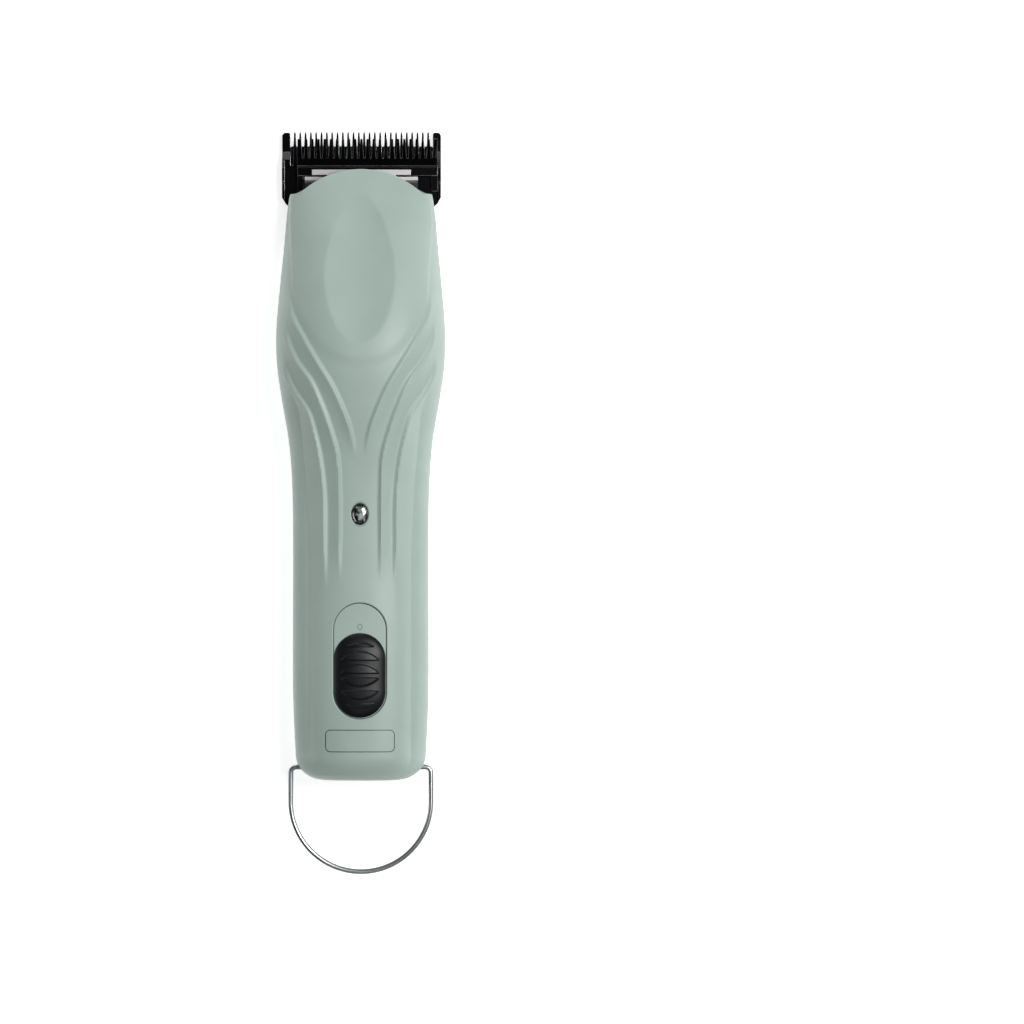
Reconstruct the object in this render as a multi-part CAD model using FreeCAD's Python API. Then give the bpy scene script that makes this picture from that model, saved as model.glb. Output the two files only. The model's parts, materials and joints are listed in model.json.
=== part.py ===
"""Cordless hair clipper with a detachable blade set, as an assembly of separate solids.

The clipper lies on its back. +Y runs from the hanging loop to the blade teeth, +Z is the
face with the thumb switch, and the origin is on the table under the middle of the length.
All sizes are in millimetres.
"""

import FreeCAD
import Part

import math
import os

# ---------------------------------------------------------------- driving dimensions
TOTAL_LENGTH = 219.0  # loop to tooth tips
TIP_Y = TOTAL_LENGTH / 2
BODY_REAR_Y = -81.6
NOSE_Y = 98.3
SHOULDER_Y = 91.0  # where the hood's arch meets its short square shoulders
SHOULDER_X = 18.0
ARCH_RADIUS = 26.0
BAY_Y = 76.0  # the full body ends here and only the hood runs on above the blade
HOOD_Z = 11.5
WALL = 2.2
FIT = 0.15  # gap between a shell and what sits inside it

# blade set
BLADE_WIDTH = 47.0
CUTTER_WIDTH = 41.4
COMB_BOTTOM_Z = 0.8
CUT_PLANE_Z = 4.3  # the cutter slides on this plane
COMB_TEETH = 26
COMB_PITCH = 1.576
CUTTER_GAPS = 22
CUTTER_PITCH = 1.811

# drive
MOTOR_Z = 17.0
MOTOR_RADIUS = 12.0
MOTOR_REAR_Y = 9.0
MOTOR_FRONT_Y = 47.0
SHAFT_RADIUS = 1.5
PIVOT_Y = 66.0
FORK_Y = 55.0
DRIVE_TIP_Y = 94.0
STROKE_HALF = 1.8  # the cutter rests at the +X end of its stroke
LEVER_REST = math.asin(STROKE_HALF / (DRIVE_TIP_Y - PIVOT_Y))
ECCENTRICITY = (PIVOT_Y - FORK_Y) * math.sin(LEVER_REST)
RUNNING_GAP = 0.03  # between pieces that turn on each other
SEAT_GAP = 0.02  # between pieces pressed or screwed together

# hinge and latch
HINGE_Y = 78.6
HINGE_Z = 3.6
HINGE_PIN_RADIUS = 1.2

# switch
SWITCH_WIDTH = 15.6
TRACK_REAR_Y = -63.4
TRACK_FRONT_Y = -29.4
SLIDER_LENGTH = 24.8
TRACK_TOP_Z = 30.4

# hanging loop
WIRE_RADIUS = 0.8
LOOP_RADIUS = 20.65
LOOP_PIVOT_Y = -77.9
LOOP_PIVOT_Z = 15.05
LOOP_CORNER = 1.7

# thumb dish in the face
DISH_Y = 68.6
DISH_HALF_LENGTH = 21.9
DISH_HALF_WIDTH = 10.5
DISH_DEPTH = 1.5

# release latch in the back
LATCH_HALF = 7.2
LATCH_Y0 = 57.5
LATCH_Y1 = 70.5

# Stations down the body: y, half width, height of the face, height of the back, height
# of the parting line between the two covers. The back is cut flat at the table.
STATIONS = [
    (-81.6, 18.8, 31.2, 1.2, 15.0),
    (-58.0, 19.9, 31.8, -0.5, 15.2),
    (-38.0, 20.0, 31.9, 0.3, 15.4),
    (-14.0, 19.95, 31.4, 1.6, 15.6),
    (5.0, 20.2, 31.8, 1.8, 15.8),
    (18.0, 21.2, 33.2, 1.2, 16.0),
    (30.0, 23.2, 35.0, 0.2, 16.1),
    (40.0, 24.6, 36.1, -0.4, 16.0),
    (50.0, 24.9, 35.9, -0.6, 15.5),
    (62.0, 24.0, 33.4, 0.0, 14.2),
    (76.0, 22.65, 27.6, 1.0, 11.5),
    (84.5, 21.9, 22.8, 2.6, 11.5),
    (91.0, 20.9, 18.9, 4.2, 11.5),
    (99.5, 18.6, 13.9, 6.0, 11.5),
]
FACE_POWER = 2.35  # squareness of the section above the parting line
BACK_POWER = 3.0  # and below it
REAR_ROUND = 7.0  # length over which the rear end rounds off
REAR_INSET_X = 8.0
REAR_INSET_Z = 6.5

V = FreeCAD.Vector


# ---------------------------------------------------------------- small helpers
def box(x0, x1, y0, y1, z0, z1):
    return Part.makeBox(x1 - x0, y1 - y0, z1 - z0, V(x0, y0, z0))


def along_x(x0, x1, y, z, radius):
    return Part.makeCylinder(radius, x1 - x0, V(x0, y, z), V(1, 0, 0))


def along_y(y0, y1, x, z, radius):
    return Part.makeCylinder(radius, y1 - y0, V(x, y0, z), V(0, 1, 0))


def along_z(z0, z1, x, y, radius):
    return Part.makeCylinder(radius, z1 - z0, V(x, y, z0), V(0, 0, 1))


def prism_x(points, x0, x1):
    """A solid from an outline in the Y-Z plane, between two x values."""
    wire = Part.makePolygon([V(x0, y, z) for y, z in points + points[:1]])
    return Part.Face(wire).extrude(V(x1 - x0, 0, 0))


def prism_z(points, z0, z1):
    """A solid from an outline in the X-Y plane, between two heights."""
    wire = Part.makePolygon([V(x, y, z0) for x, y in points + points[:1]])
    return Part.Face(wire).extrude(V(0, 0, z1 - z0))


def stadium(width, y0, y1, z0, z1):
    """An upright slab with round ends, long in Y and centred on x = 0."""
    r = width / 2
    slab = box(-r, r, y0 + r, y1 - r, z0, z1)
    return slab.fuse([along_z(z0, z1, 0, y0 + r, r), along_z(z0, z1, 0, y1 - r, r)]).removeSplitter()


def oval(half_x, half_y, y, z0, z1):
    """An upright elliptical plug centred on x = 0."""
    ellipse = Part.Ellipse(V(0, y, z0), half_y, half_x).toShape()
    ellipse.rotate(V(0, y, z0), V(0, 0, 1), 90)
    return Part.Face(Part.Wire(ellipse)).extrude(V(0, 0, z1 - z0))


def tube_y(y0, y1, x, z, outer, inner):
    return along_y(y0, y1, x, z, outer).cut(along_y(y0 - 1, y1 + 1, x, z, inner))


def tube_z(z0, z1, x, y, outer, inner):
    return along_z(z0, z1, x, y, outer).cut(along_z(z0 - 1, z1 + 1, x, y, inner))


def bent_wire(points, radius):
    """A round wire along straight runs joined by tangent arcs, as large as the runs allow."""
    edges = []
    start = points[0]
    for before, corner, after in zip(points, points[1:], points[2:]):
        into = (corner - before).normalize()
        out = (after - corner).normalize()
        turn = into.getAngle(out)
        run = min((corner - before).Length, (after - corner).Length)
        cut = 0.45 * run
        p, q = corner - into * cut, corner + out * cut
        bend = (q + p) * 0.5 - corner
        bulge = cut / math.cos(turn / 2) - cut * math.tan(turn / 2)
        middle = corner + bend.normalize() * (bulge * math.tan(turn / 2) if turn > 1e-6 else 0)
        edges.append(Part.LineSegment(start, p).toShape())
        edges.append(Part.Arc(p, middle, q).toShape())
        start = q
    edges.append(Part.LineSegment(start, points[-1]).toShape())
    path = Part.Wire(edges)
    section = Part.Wire(Part.Circle(points[0], points[1] - points[0], radius).toShape())
    return path.makePipeShell([section], True, False)


def mirrored(shape):
    """The shape and its mirror image across x = 0, as one compound of separate solids."""
    other = shape.mirror(V(0, 0, 0), V(1, 0, 0))
    return Part.makeCompound([shape, other])


PARTS = {}


def keep(name, shape):
    PARTS[name] = shape


# ---------------------------------------------------------------- the body's form
def station(y, column):
    """A smooth value between stations: a cubic through them with averaged slopes."""
    ys = [s[0] for s in STATIONS]
    vs = [s[column] for s in STATIONS]
    last = len(ys) - 1
    y = min(max(y, ys[0]), ys[last])
    i = max(k for k in range(last) if ys[k] <= y)

    def slope(k):
        a, b = max(k - 1, 0), min(k + 1, last)
        return (vs[b] - vs[a]) / (ys[b] - ys[a])

    h = ys[i + 1] - ys[i]
    t = (y - ys[i]) / h
    rise = 3 * t**2 - 2 * t**3
    ends = vs[i] * (1 - rise) + vs[i + 1] * rise
    return ends + h * (slope(i) * t * (1 - t) ** 2 - slope(i + 1) * t**2 * (1 - t))


def rear_rounding(y):
    """0 along the body, rising to 1 at the rear end face."""
    t = min(1.0, (y - BODY_REAR_Y) / REAR_ROUND)
    return 1 - math.sqrt(max(0.0, 1 - (1 - t) ** 2))


def section_point(y, angle, inset):
    """A point on the body's section at y, that far inside the outer surface."""
    curl = rear_rounding(y)
    parting = station(y, 4)
    half_width = station(y, 1) - REAR_INSET_X * curl - inset
    c, s = math.cos(angle), math.sin(angle)
    if s >= 0:
        power = FACE_POWER
        reach = station(y, 2) - REAR_INSET_Z * curl - inset - parting
    else:
        power = BACK_POWER
        reach = parting - (station(y, 3) + REAR_INSET_Z * curl + inset)
    x = half_width * math.copysign(abs(c) ** (2 / power), c)
    z = parting + reach * math.copysign(abs(s) ** (2 / power), s)
    return V(x, y, z)


def body_form(inset, y0, y1, slices):
    """The body's form as one solid, lofted through sections from y0 to y1."""
    rings = []
    for y in [y0] + [s for s in slices if y0 < s < y1] + [y1]:
        points = [section_point(y, 2 * math.pi * k / 40, inset) for k in range(40)]
        curve = Part.BSplineCurve()
        curve.interpolate(Points=points, PeriodicFlag=True, Parameters=[k / 40 for k in range(41)])
        rings.append(Part.Wire(curve.toShape()))
    return Part.makeLoft(rings, True, False)


SLICES = [-81.3, -80.6, -79.4, -77.6, -75.6, -72, -66, -58, -48, -38, -26, -14, -4, 5, 12, 18]
SLICES += [24, 30, 35, 40, 45, 50, 56, 62, 69, 76, 80, 84.5, 88, 91, 95]


def above_parting(extra=0.0):
    """The space above the parting surface, which follows the station heights."""
    ys = [-90.0] + list(range(-80, 100, 10)) + [105.0]
    line = Part.BSplineCurve()
    line.interpolate([V(-40, y, station(y, 4) + extra) for y in ys])
    top = [V(-40, 105, 60), V(-40, -90, 60)]
    first, last = line.StartPoint, line.EndPoint
    sides = Part.makePolygon([last, top[0], top[1], first])
    face = Part.Face(Part.Wire([line.toShape()] + sides.Edges))
    return face.extrude(V(80, 0, 0))


def hood_plan():
    """The plan outline of everything ahead of the middle: the arch and its shoulders."""
    drop = ARCH_RADIUS - math.sqrt(ARCH_RADIUS**2 - SHOULDER_X**2)
    left, right = V(-SHOULDER_X, NOSE_Y - drop, -5), V(SHOULDER_X, NOSE_Y - drop, -5)
    arch = Part.Arc(left, V(0, NOSE_Y, -5), right).toShape()
    corners = [right, V(30, SHOULDER_Y - 0.4, -5), V(30, -100, -5), V(-30, -100, -5)]
    corners += [V(-30, SHOULDER_Y - 0.4, -5), left]
    outline = Part.Wire([arch] + Part.makePolygon(corners).Edges)
    return Part.Face(outline).extrude(V(0, 0, 60))


def dish_cutter():
    """The thumb dish as a solid: arcs across the face that dip most at the middle."""
    sections = []
    for k in range(9):
        along = 0.995 * math.cos(math.pi * (1 - k / 8))
        y = DISH_Y + DISH_HALF_LENGTH * along
        share = math.sqrt(1 - along**2)
        half = DISH_HALF_WIDTH * share
        low = face_height(0, y) - DISH_DEPTH * share**2
        rim = max(face_height(half, y), low + 0.02)
        left, right = V(-half, y, rim), V(half, y, rim)
        arc = Part.Arc(left, V(0, y, low), right).toShape()
        sides = Part.makePolygon([right, V(half, y, 48), V(-half, y, 48), left])
        sections.append(Part.Wire([arc] + sides.Edges))
    return Part.makeLoft(sections, True, False)


def dish_backing(gap):
    """The thicker patch of wall behind the dish, with a gap all round it."""
    patch = oval(DISH_HALF_WIDTH + 2 + gap, DISH_HALF_LENGTH + 2 + gap, DISH_Y, 10, 50)
    return patch.cut(body_form(WALL + DISH_DEPTH + gap, 30, 99.5, SLICES))


def face_height(x, y):
    """Height of the outer surface of the face at (x, y)."""
    parting = station(y, 4)
    across = min(1.0, abs(x) / station(y, 1))
    return parting + (station(y, 2) - parting) * (1 - across**FACE_POWER) ** (1 / FACE_POWER)


HOUSING_SCREWS = [(16.0, 50.5), (-16.0, 50.5), (11.5, -70.5), (-11.5, -70.5)]
BOSS_RADIUS = 3.4
SCREW_SHANK = 1.25
SCREW_HEAD = 2.4
HEAD_SEAT_Z = 5.2
FRAME_SCREWS = [(13.0, 68.5), (-13.0, 68.5)]
BOARD_PEGS = [(-9.5, -63.5), (9.5, -63.5), (-9.5, 0.2), (9.5, 0.2)]


def make_covers():
    table = box(-60, 60, -120, 120, -20, 0)
    outer = body_form(0.0, BODY_REAR_Y, 99.5, SLICES).cut(table).common(hood_plan())
    inner = body_form(WALL, BODY_REAR_Y + WALL, 99.5, SLICES)
    upper = above_parting()

    # bosses that the housing screws join, and cradles for the motor and battery
    face_extra, back_extra = [], []
    for x, y in HOUSING_SCREWS:
        split = station(y, 4)
        back_extra.append(along_z(0.5, split, x, y, BOSS_RADIUS))
        boss = along_z(split, 40, x, y, BOSS_RADIUS - 0.4)
        face_extra.append(boss.cut(along_z(0, split + 9, x, y, SCREW_SHANK + SEAT_GAP)))
    for x, y in BOARD_PEGS:
        peg = along_z(BOARD_Z - 0.4, BOARD_Z + 2, x, y, 1.0)
        face_extra.append(peg.fuse(along_z(BOARD_Z + 1.25, 40, x, y, 2.2)))
    for x, y in FRAME_SCREWS:
        back_extra.append(tube_z(1, 9.15, x, y, 3.0, SCREW_SHANK + SEAT_GAP))
    back_extra.append(box(-9.5, 9.5, LATCH_Y0 - 5.1, LATCH_Y0 - 3.5, 0.5, 7.0))
    face_extra.append(dish_backing(0.0))
    for y, radius, z in [(14.0, MOTOR_RADIUS, MOTOR_Z), (40.0, MOTOR_RADIUS, MOTOR_Z)]:
        rib = box(-30, 30, y, y + 1.6, 0, 40).cut(along_y(y - 1, y + 3, 0, z, radius + 0.1))
        rib = rib.cut(box(-30, 30, y - 1, y + 3, MOTOR_Z - 3, MOTOR_Z + 3))
        face_extra.append(rib)
        back_extra.append(rib)
    for y in (-60.0, -8.0):
        rib = box(-30, 30, y, y + 1.6, 0, 14).cut(along_y(y - 1, y + 3, 0, BATTERY_Z, BATTERY_RADIUS + 0.1))
        back_extra.append(rib)
    face = outer.common(upper).cut(inner.cut(face_extra))
    back = outer.cut(upper).cut(inner.cut(back_extra))
    back = back.cut(box(-60, 60, BAY_Y, 120, -20, 60))

    for x, y in HOUSING_SCREWS:
        back = back.cut(along_z(-1, HEAD_SEAT_Z, x, y, SCREW_HEAD + 0.2))
        back = back.cut(along_z(-1, 40, x, y, SCREW_SHANK + 0.2))

    # openings in the face: switch track, thumb dish and indicator
    face = face.cut(stadium(SWITCH_WIDTH, TRACK_REAR_Y, TRACK_FRONT_Y, 22, 40))
    face = face.cut(oval(2.5, 3.2, INDICATOR_Y, 22, 40))
    face = face.cut(dish_cutter())

    # pivots of the hanging loop, half in each cover, and the openings of the rear end
    pivot = along_x(-30, 30, LOOP_PIVOT_Y, LOOP_PIVOT_Z, WIRE_RADIUS + 0.1)
    face, back = face.cut(pivot), back.cut(pivot)
    for x in (-CONTACT_X, CONTACT_X):
        back = back.cut(box(x - 1.5, x + 1.5, -90, -75, INLET_Z - 2.3, INLET_Z + 2.3))
    back = back.cut(inlet_form(0.0, -90, -75))

    # release latch slot in the back
    back = back.cut(box(-LATCH_HALF, LATCH_HALF, LATCH_Y0, LATCH_Y1, -1, 5))
    keep("front_cover", face)
    keep("rear_cover", back)


# ---------------------------------------------------------------- power
BATTERY_Z = 13.6
BATTERY_RADIUS = 9.1
BATTERY_Y0 = -65.0
BATTERY_Y1 = -0.5
BOARD_Z = 23.6
INDICATOR_Y = -3.4
INLET_Z = 11.0
CONTACT_X = 7.4
LEAD_RADIUS = 0.45


def inlet_form(inset, y0, y1):
    """The slim charging inlet's outline, as a slab with round sides."""
    r = 1.7 - inset
    half = 3.6 - 1.7
    slab = box(-half, half, y0, y1, INLET_Z - r, INLET_Z + r)
    ends = [along_y(y0, y1, x, INLET_Z, r) for x in (-half, half)]
    return slab.fuse(ends).removeSplitter()


def make_power():
    cell = along_y(BATTERY_Y0, BATTERY_Y1, 0, BATTERY_Z, BATTERY_RADIUS - 0.3)
    nub = along_y(BATTERY_Y1, BATTERY_Y1 + 1.2, 0, BATTERY_Z, 2.6)
    keep("battery_cell", cell.fuse(nub))
    bore = BATTERY_RADIUS - 0.3 + SEAT_GAP
    keep("battery_sleeve", tube_y(BATTERY_Y0 + 0.4, BATTERY_Y1 - 0.4, 0, BATTERY_Z, BATTERY_RADIUS, bore))
    front = box(-3, 3, BATTERY_Y1 + 1.2, BATTERY_Y1 + 1.5, BATTERY_Z - 3, BOARD_Z - 0.1)
    rear = box(-3, 3, BATTERY_Y0 - 0.4, BATTERY_Y0, BATTERY_Z - 3, BOARD_Z - 0.1)
    keep("battery_tabs", Part.makeCompound([front, rear]))

    board = box(-12, 12, -66.5, 2.5, BOARD_Z, BOARD_Z + 1.2)
    for x, y in BOARD_PEGS:
        board = board.cut(along_z(20, 30, x, y, 1.1))
    keep("main_board", board)
    chips = [(-8, -24, 5, 5, 1.0), (3, -24, 7, 4, 1.2), (-9, -15, 4, 6, 0.9)]
    chips += [(4, -14, 3, 3, 1.6), (-3, -12, 3, 5, 0.8)]
    top = BOARD_Z + 1.2
    blocks = [box(x, x + w, y, y + d, top, top + h) for x, y, w, d, h in chips]
    keep("board_chips", Part.makeCompound(blocks))
    keep("switch_module", box(-4, 4, -62, -36, top, top + 1.6))
    led = along_z(top, top + 1.2, 0, INDICATOR_Y, 1.5)
    lamp = Part.makeSphere(1.4, V(0, INDICATOR_Y, top + 1.2), V(0, 0, 1), 0, 90)
    keep("indicator_led", led.fuse(lamp))

    inlet = inlet_form(0.05, -81.55, -74.5).cut(inlet_form(0.6, -90, -75.6))
    keep("charge_inlet", inlet)
    blades = [box(x - 0.35, x + 0.35, -80.4, -73.5, INLET_Z - 0.6, INLET_Z + 0.6) for x in (-1.5, 1.5)]
    keep("inlet_pins", Part.makeCompound(blades))
    pads = []
    for x in (-CONTACT_X, CONTACT_X):
        pad = box(x - 1.4, x + 1.4, -81.5, -79.0, INLET_Z - 2.2, INLET_Z + 2.2)
        pads.append(pad.fuse(box(x - 0.8, x + 0.8, -79.1, -76.0, INLET_Z - 1.0, INLET_Z + 1.0)))
    keep("charge_contacts", Part.makeCompound(pads))
    PARTS["inlet_pins"] = Part.makeCompound([b.cut(PARTS["charge_inlet"]) for b in blades])


def make_wires():
    """Short leads inside the covers, laid as straight runs and arcs."""
    leads = []
    for side in (-1, 1):
        points = [(5.0, 8.9, 19.0), (5.0, 6.8, 19.0), (7.5, 4.2, 20.0)]
        points += [(10.6, 1.2, 20.6), (10.6, 1.2, 23.3)]
        leads.append(bent_wire([V(side * x, y, z) for x, y, z in points], LEAD_RADIUS))
    keep("motor_leads", Part.makeCompound(leads))
    leads = []
    for side in (-1, 1):
        points = [(CONTACT_X, -75.9, INLET_Z), (CONTACT_X, -74.6, INLET_Z), (6.0, -72.6, 14.0)]
        points += [(5.5, -68.6, 18.5), (5.5, -66.0, 20.6), (5.5, -66.0, 23.3)]
        leads.append(bent_wire([V(side * x, y, z) for x, y, z in points], LEAD_RADIUS))
    keep("charge_leads", Part.makeCompound(leads))


# ---------------------------------------------------------------- switch and indicator
def make_switch():
    width, rear, front = SWITCH_WIDTH - 0.2, TRACK_REAR_Y + 0.1, TRACK_FRONT_Y - 0.1
    plate = stadium(width, rear, front, TRACK_TOP_Z - 1.8, TRACK_TOP_Z)
    plate = plate.cut(box(-2.0, 2.0, -54.0, -38.7, 20, 40))
    flange = stadium(width + 2.6, rear - 1.3, front + 1.3, TRACK_TOP_Z - 3.4, TRACK_TOP_Z - 2.2)
    flange = flange.cut(box(-4.4, 4.4, -60.5, -33.0, 20, 40))
    lip = stadium(width, rear, front, TRACK_TOP_Z - 2.4, TRACK_TOP_Z - 1.7)
    lip = lip.cut(box(-4.4, 4.4, -60.5, -33.0, 20, 40))
    keep("switch_track", plate.fuse([lip, flange]).removeSplitter())

    rear = TRACK_REAR_Y + 0.4
    front = rear + SLIDER_LENGTH
    base = stadium(SWITCH_WIDTH - 0.6, rear, front, TRACK_TOP_Z + 0.1, TRACK_TOP_Z + 1.4)
    crown = stadium(SWITCH_WIDTH - 1.6, rear + 0.5, front - 0.5, TRACK_TOP_Z + 1.4, TRACK_TOP_Z + 2.6)
    crown = crown.makeFillet(0.8, [e for e in crown.Edges if e.BoundBox.ZMin > TRACK_TOP_Z + 2.5])
    slider = base.fuse(crown)
    middle = (rear + front) / 2
    for side in (-1, 1):
        for step in (1, 2, 3):
            slider = slider.fuse(finger_rib(middle, side, step))
    keep("switch_slider", slider.cut(box(-1.5, 1.5, middle - 3, middle + 3, 0, TRACK_TOP_Z + 1.2)))

    stem = box(-1.5, 1.5, middle - 3, middle + 3, 27.0, TRACK_TOP_Z + 1.2)
    shoe = box(-4.0, 4.0, middle - 4.5, middle + 4.5, 26.5, 27.4)
    fork = box(-0.9, 0.9, middle - 1, middle + 1, 26.5, 26.55)
    keep("switch_carriage", stem.fuse([shoe, fork]).removeSplitter())


def finger_rib(middle, side, step):
    """One crescent step of the slider: a straight edge across and an arc towards the end."""
    edge = middle + side * (0.65 + 3.83 * (step - 1))
    half = 5.9 if step < 3 else 4.6
    sag = 2.75 if step < 3 else 1.5
    base = TRACK_TOP_Z + 2.3
    left, right = V(-half, edge, base), V(half, edge, base)
    arc = Part.Arc(left, V(0, edge + side * sag, base), right).toShape()
    face = Part.Face(Part.Wire([arc, Part.LineSegment(right, left).toShape()]))
    return face.extrude(V(0, 0, 0.85))


def make_indicator():
    bezel = oval(2.45, 3.15, INDICATOR_Y, 29.0, 31.85).cut(oval(1.95, 2.65, INDICATOR_Y, 20, 40))
    keep("indicator_bezel", bezel)
    lens = oval(1.9, 2.6, INDICATOR_Y, 28.6, 31.6)
    dome = lens.makeFillet(0.5, [e for e in lens.Edges if e.BoundBox.ZMin > 31.5])
    keep("indicator_lens", dome)


# ---------------------------------------------------------------- motor and drive
def make_motor():
    can = along_y(MOTOR_REAR_Y + 3, MOTOR_FRONT_Y, 0, MOTOR_Z, MOTOR_RADIUS)
    can = can.cut(along_y(MOTOR_REAR_Y, MOTOR_FRONT_Y - 1.2, 0, MOTOR_Z, MOTOR_RADIUS - 0.8))
    can = can.fuse(along_y(MOTOR_FRONT_Y - 1.3, MOTOR_FRONT_Y + 2.2, 0, MOTOR_Z, 4.2))
    can = can.cut(along_y(0, 60, 0, MOTOR_Z, 3.0 + SEAT_GAP))
    keep("motor_can", can)
    cap = along_y(MOTOR_REAR_Y, MOTOR_REAR_Y + 3, 0, MOTOR_Z, MOTOR_RADIUS)
    cap = cap.fuse(along_y(MOTOR_REAR_Y + 2.9, MOTOR_REAR_Y + 4.5, 0, MOTOR_Z, MOTOR_RADIUS - 0.85))
    cap = cap.cut(along_y(MOTOR_REAR_Y + 1, 60, 0, MOTOR_Z, 3.0 + SEAT_GAP))
    for angle in range(0, 360, 60):
        x, z = 7.4 * math.cos(math.radians(angle + 30)), 7.4 * math.sin(math.radians(angle + 30))
        cap = cap.cut(along_y(MOTOR_REAR_Y - 1, MOTOR_REAR_Y + 6, x, MOTOR_Z + z, 1.1))
    keep("motor_end_cap", cap)
    bore = SHAFT_RADIUS + RUNNING_GAP
    keep("motor_front_bearing", tube_y(MOTOR_FRONT_Y - 0.8, MOTOR_FRONT_Y + 2.2, 0, MOTOR_Z, 3.0, bore))
    keep("motor_rear_bearing", tube_y(MOTOR_REAR_Y + 1, MOTOR_REAR_Y + 4, 0, MOTOR_Z, 3.0, bore))

    core = tube_y(18, 41, 0, MOTOR_Z, MOTOR_RADIUS - 0.85, 9.4)
    for k in range(6):
        tooth = box(-1.3, 1.3, 18, 41, MOTOR_Z + 6.4, MOTOR_Z + 9.6)
        shoe = box(-2.6, 2.6, 18, 41, MOTOR_Z + 6.4, MOTOR_Z + 7.2)
        tooth = tooth.fuse(shoe)
        tooth.rotate(V(0, 0, MOTOR_Z), V(0, 1, 0), 60 * k)
        core = core.fuse(tooth)
    keep("stator_core", core.removeSplitter())
    coils = []
    for k in range(6):
        coil = box(-2.5, 2.5, 16.4, 42.6, MOTOR_Z + 7.3, MOTOR_Z + 9.0)
        coil = coil.cut(box(-1.35, 1.35, 17.9, 41.1, MOTOR_Z + 7, MOTOR_Z + 10))
        coil.rotate(V(0, 0, MOTOR_Z), V(0, 1, 0), 60 * k)
        coils.append(coil)
    keep("stator_windings", Part.makeCompound(coils))

    keep("motor_shaft", along_y(MOTOR_REAR_Y + 1.3, 52.8, 0, MOTOR_Z, SHAFT_RADIUS))
    keep("rotor_magnet", tube_y(17.5, 41.5, 0, MOTOR_Z, 5.9, SHAFT_RADIUS + SEAT_GAP))


def make_drive():
    """The eccentric, its roller, and the lever that turns its orbit into a side stroke."""
    hub = along_y(49.4, 53.2, 0, MOTOR_Z, 4.0).cut(along_y(40, 52.85, 0, MOTOR_Z, SHAFT_RADIUS + SEAT_GAP))
    pin = along_y(53.1, 57.8, ECCENTRICITY, MOTOR_Z, 1.4)
    keep("eccentric_cam", hub.fuse(pin).removeSplitter())
    keep("cam_roller", tube_y(53.6, 57.2, ECCENTRICITY, MOTOR_Z, 2.8, 1.4 + RUNNING_GAP))

    # lever in its middle position, then swung to the end of the stroke
    slot = 2.8 + 2 * ECCENTRICITY + 0.2
    yoke = box(-slot - 1.8, slot + 1.8, 53.8, 61.4, 13.0, 21.0)
    yoke = yoke.cut(box(-slot, slot, 50, 59.6, 0, 40))
    side = [(59.8, 14), (66, 12.9), (77, 12.4), (86.5, 10.5), (96, 10.5)]
    side += [(96, 12.7), (88, 12.9), (77, 16), (66, 18), (59.8, 18)]
    arm = prism_x(side, -2.4, 2.4)
    lever = yoke.fuse([arm, along_z(12.9, 20.0, 0, PIVOT_Y, 4.4)])
    lever = lever.cut(along_z(0, 40, 0, PIVOT_Y, 3.0 + SEAT_GAP))
    lever = lever.cut(box(-1.52, 1.52, DRIVE_TIP_Y - 1.42, DRIVE_TIP_Y + 1.42, 0, 12.02))
    tip = box(-1.5, 1.5, DRIVE_TIP_Y - 1.4, DRIVE_TIP_Y + 1.4, 5.3, 12.0)
    collar = box(-2.2, 2.2, DRIVE_TIP_Y - 2.0, DRIVE_TIP_Y + 2.0, 9.2, 10.48)
    bush = tube_z(12.9, 20.0, 0, PIVOT_Y, 3.0, 2.0 + RUNNING_GAP)
    swing = -math.degrees(LEVER_REST)
    moving = {"drive_lever": lever.removeSplitter(), "drive_tip": tip.fuse(collar), "lever_bush": bush}
    for name, shape in moving.items():
        shape.rotate(V(0, PIVOT_Y, 0), V(0, 0, 1), swing)
        keep(name, shape)


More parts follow.
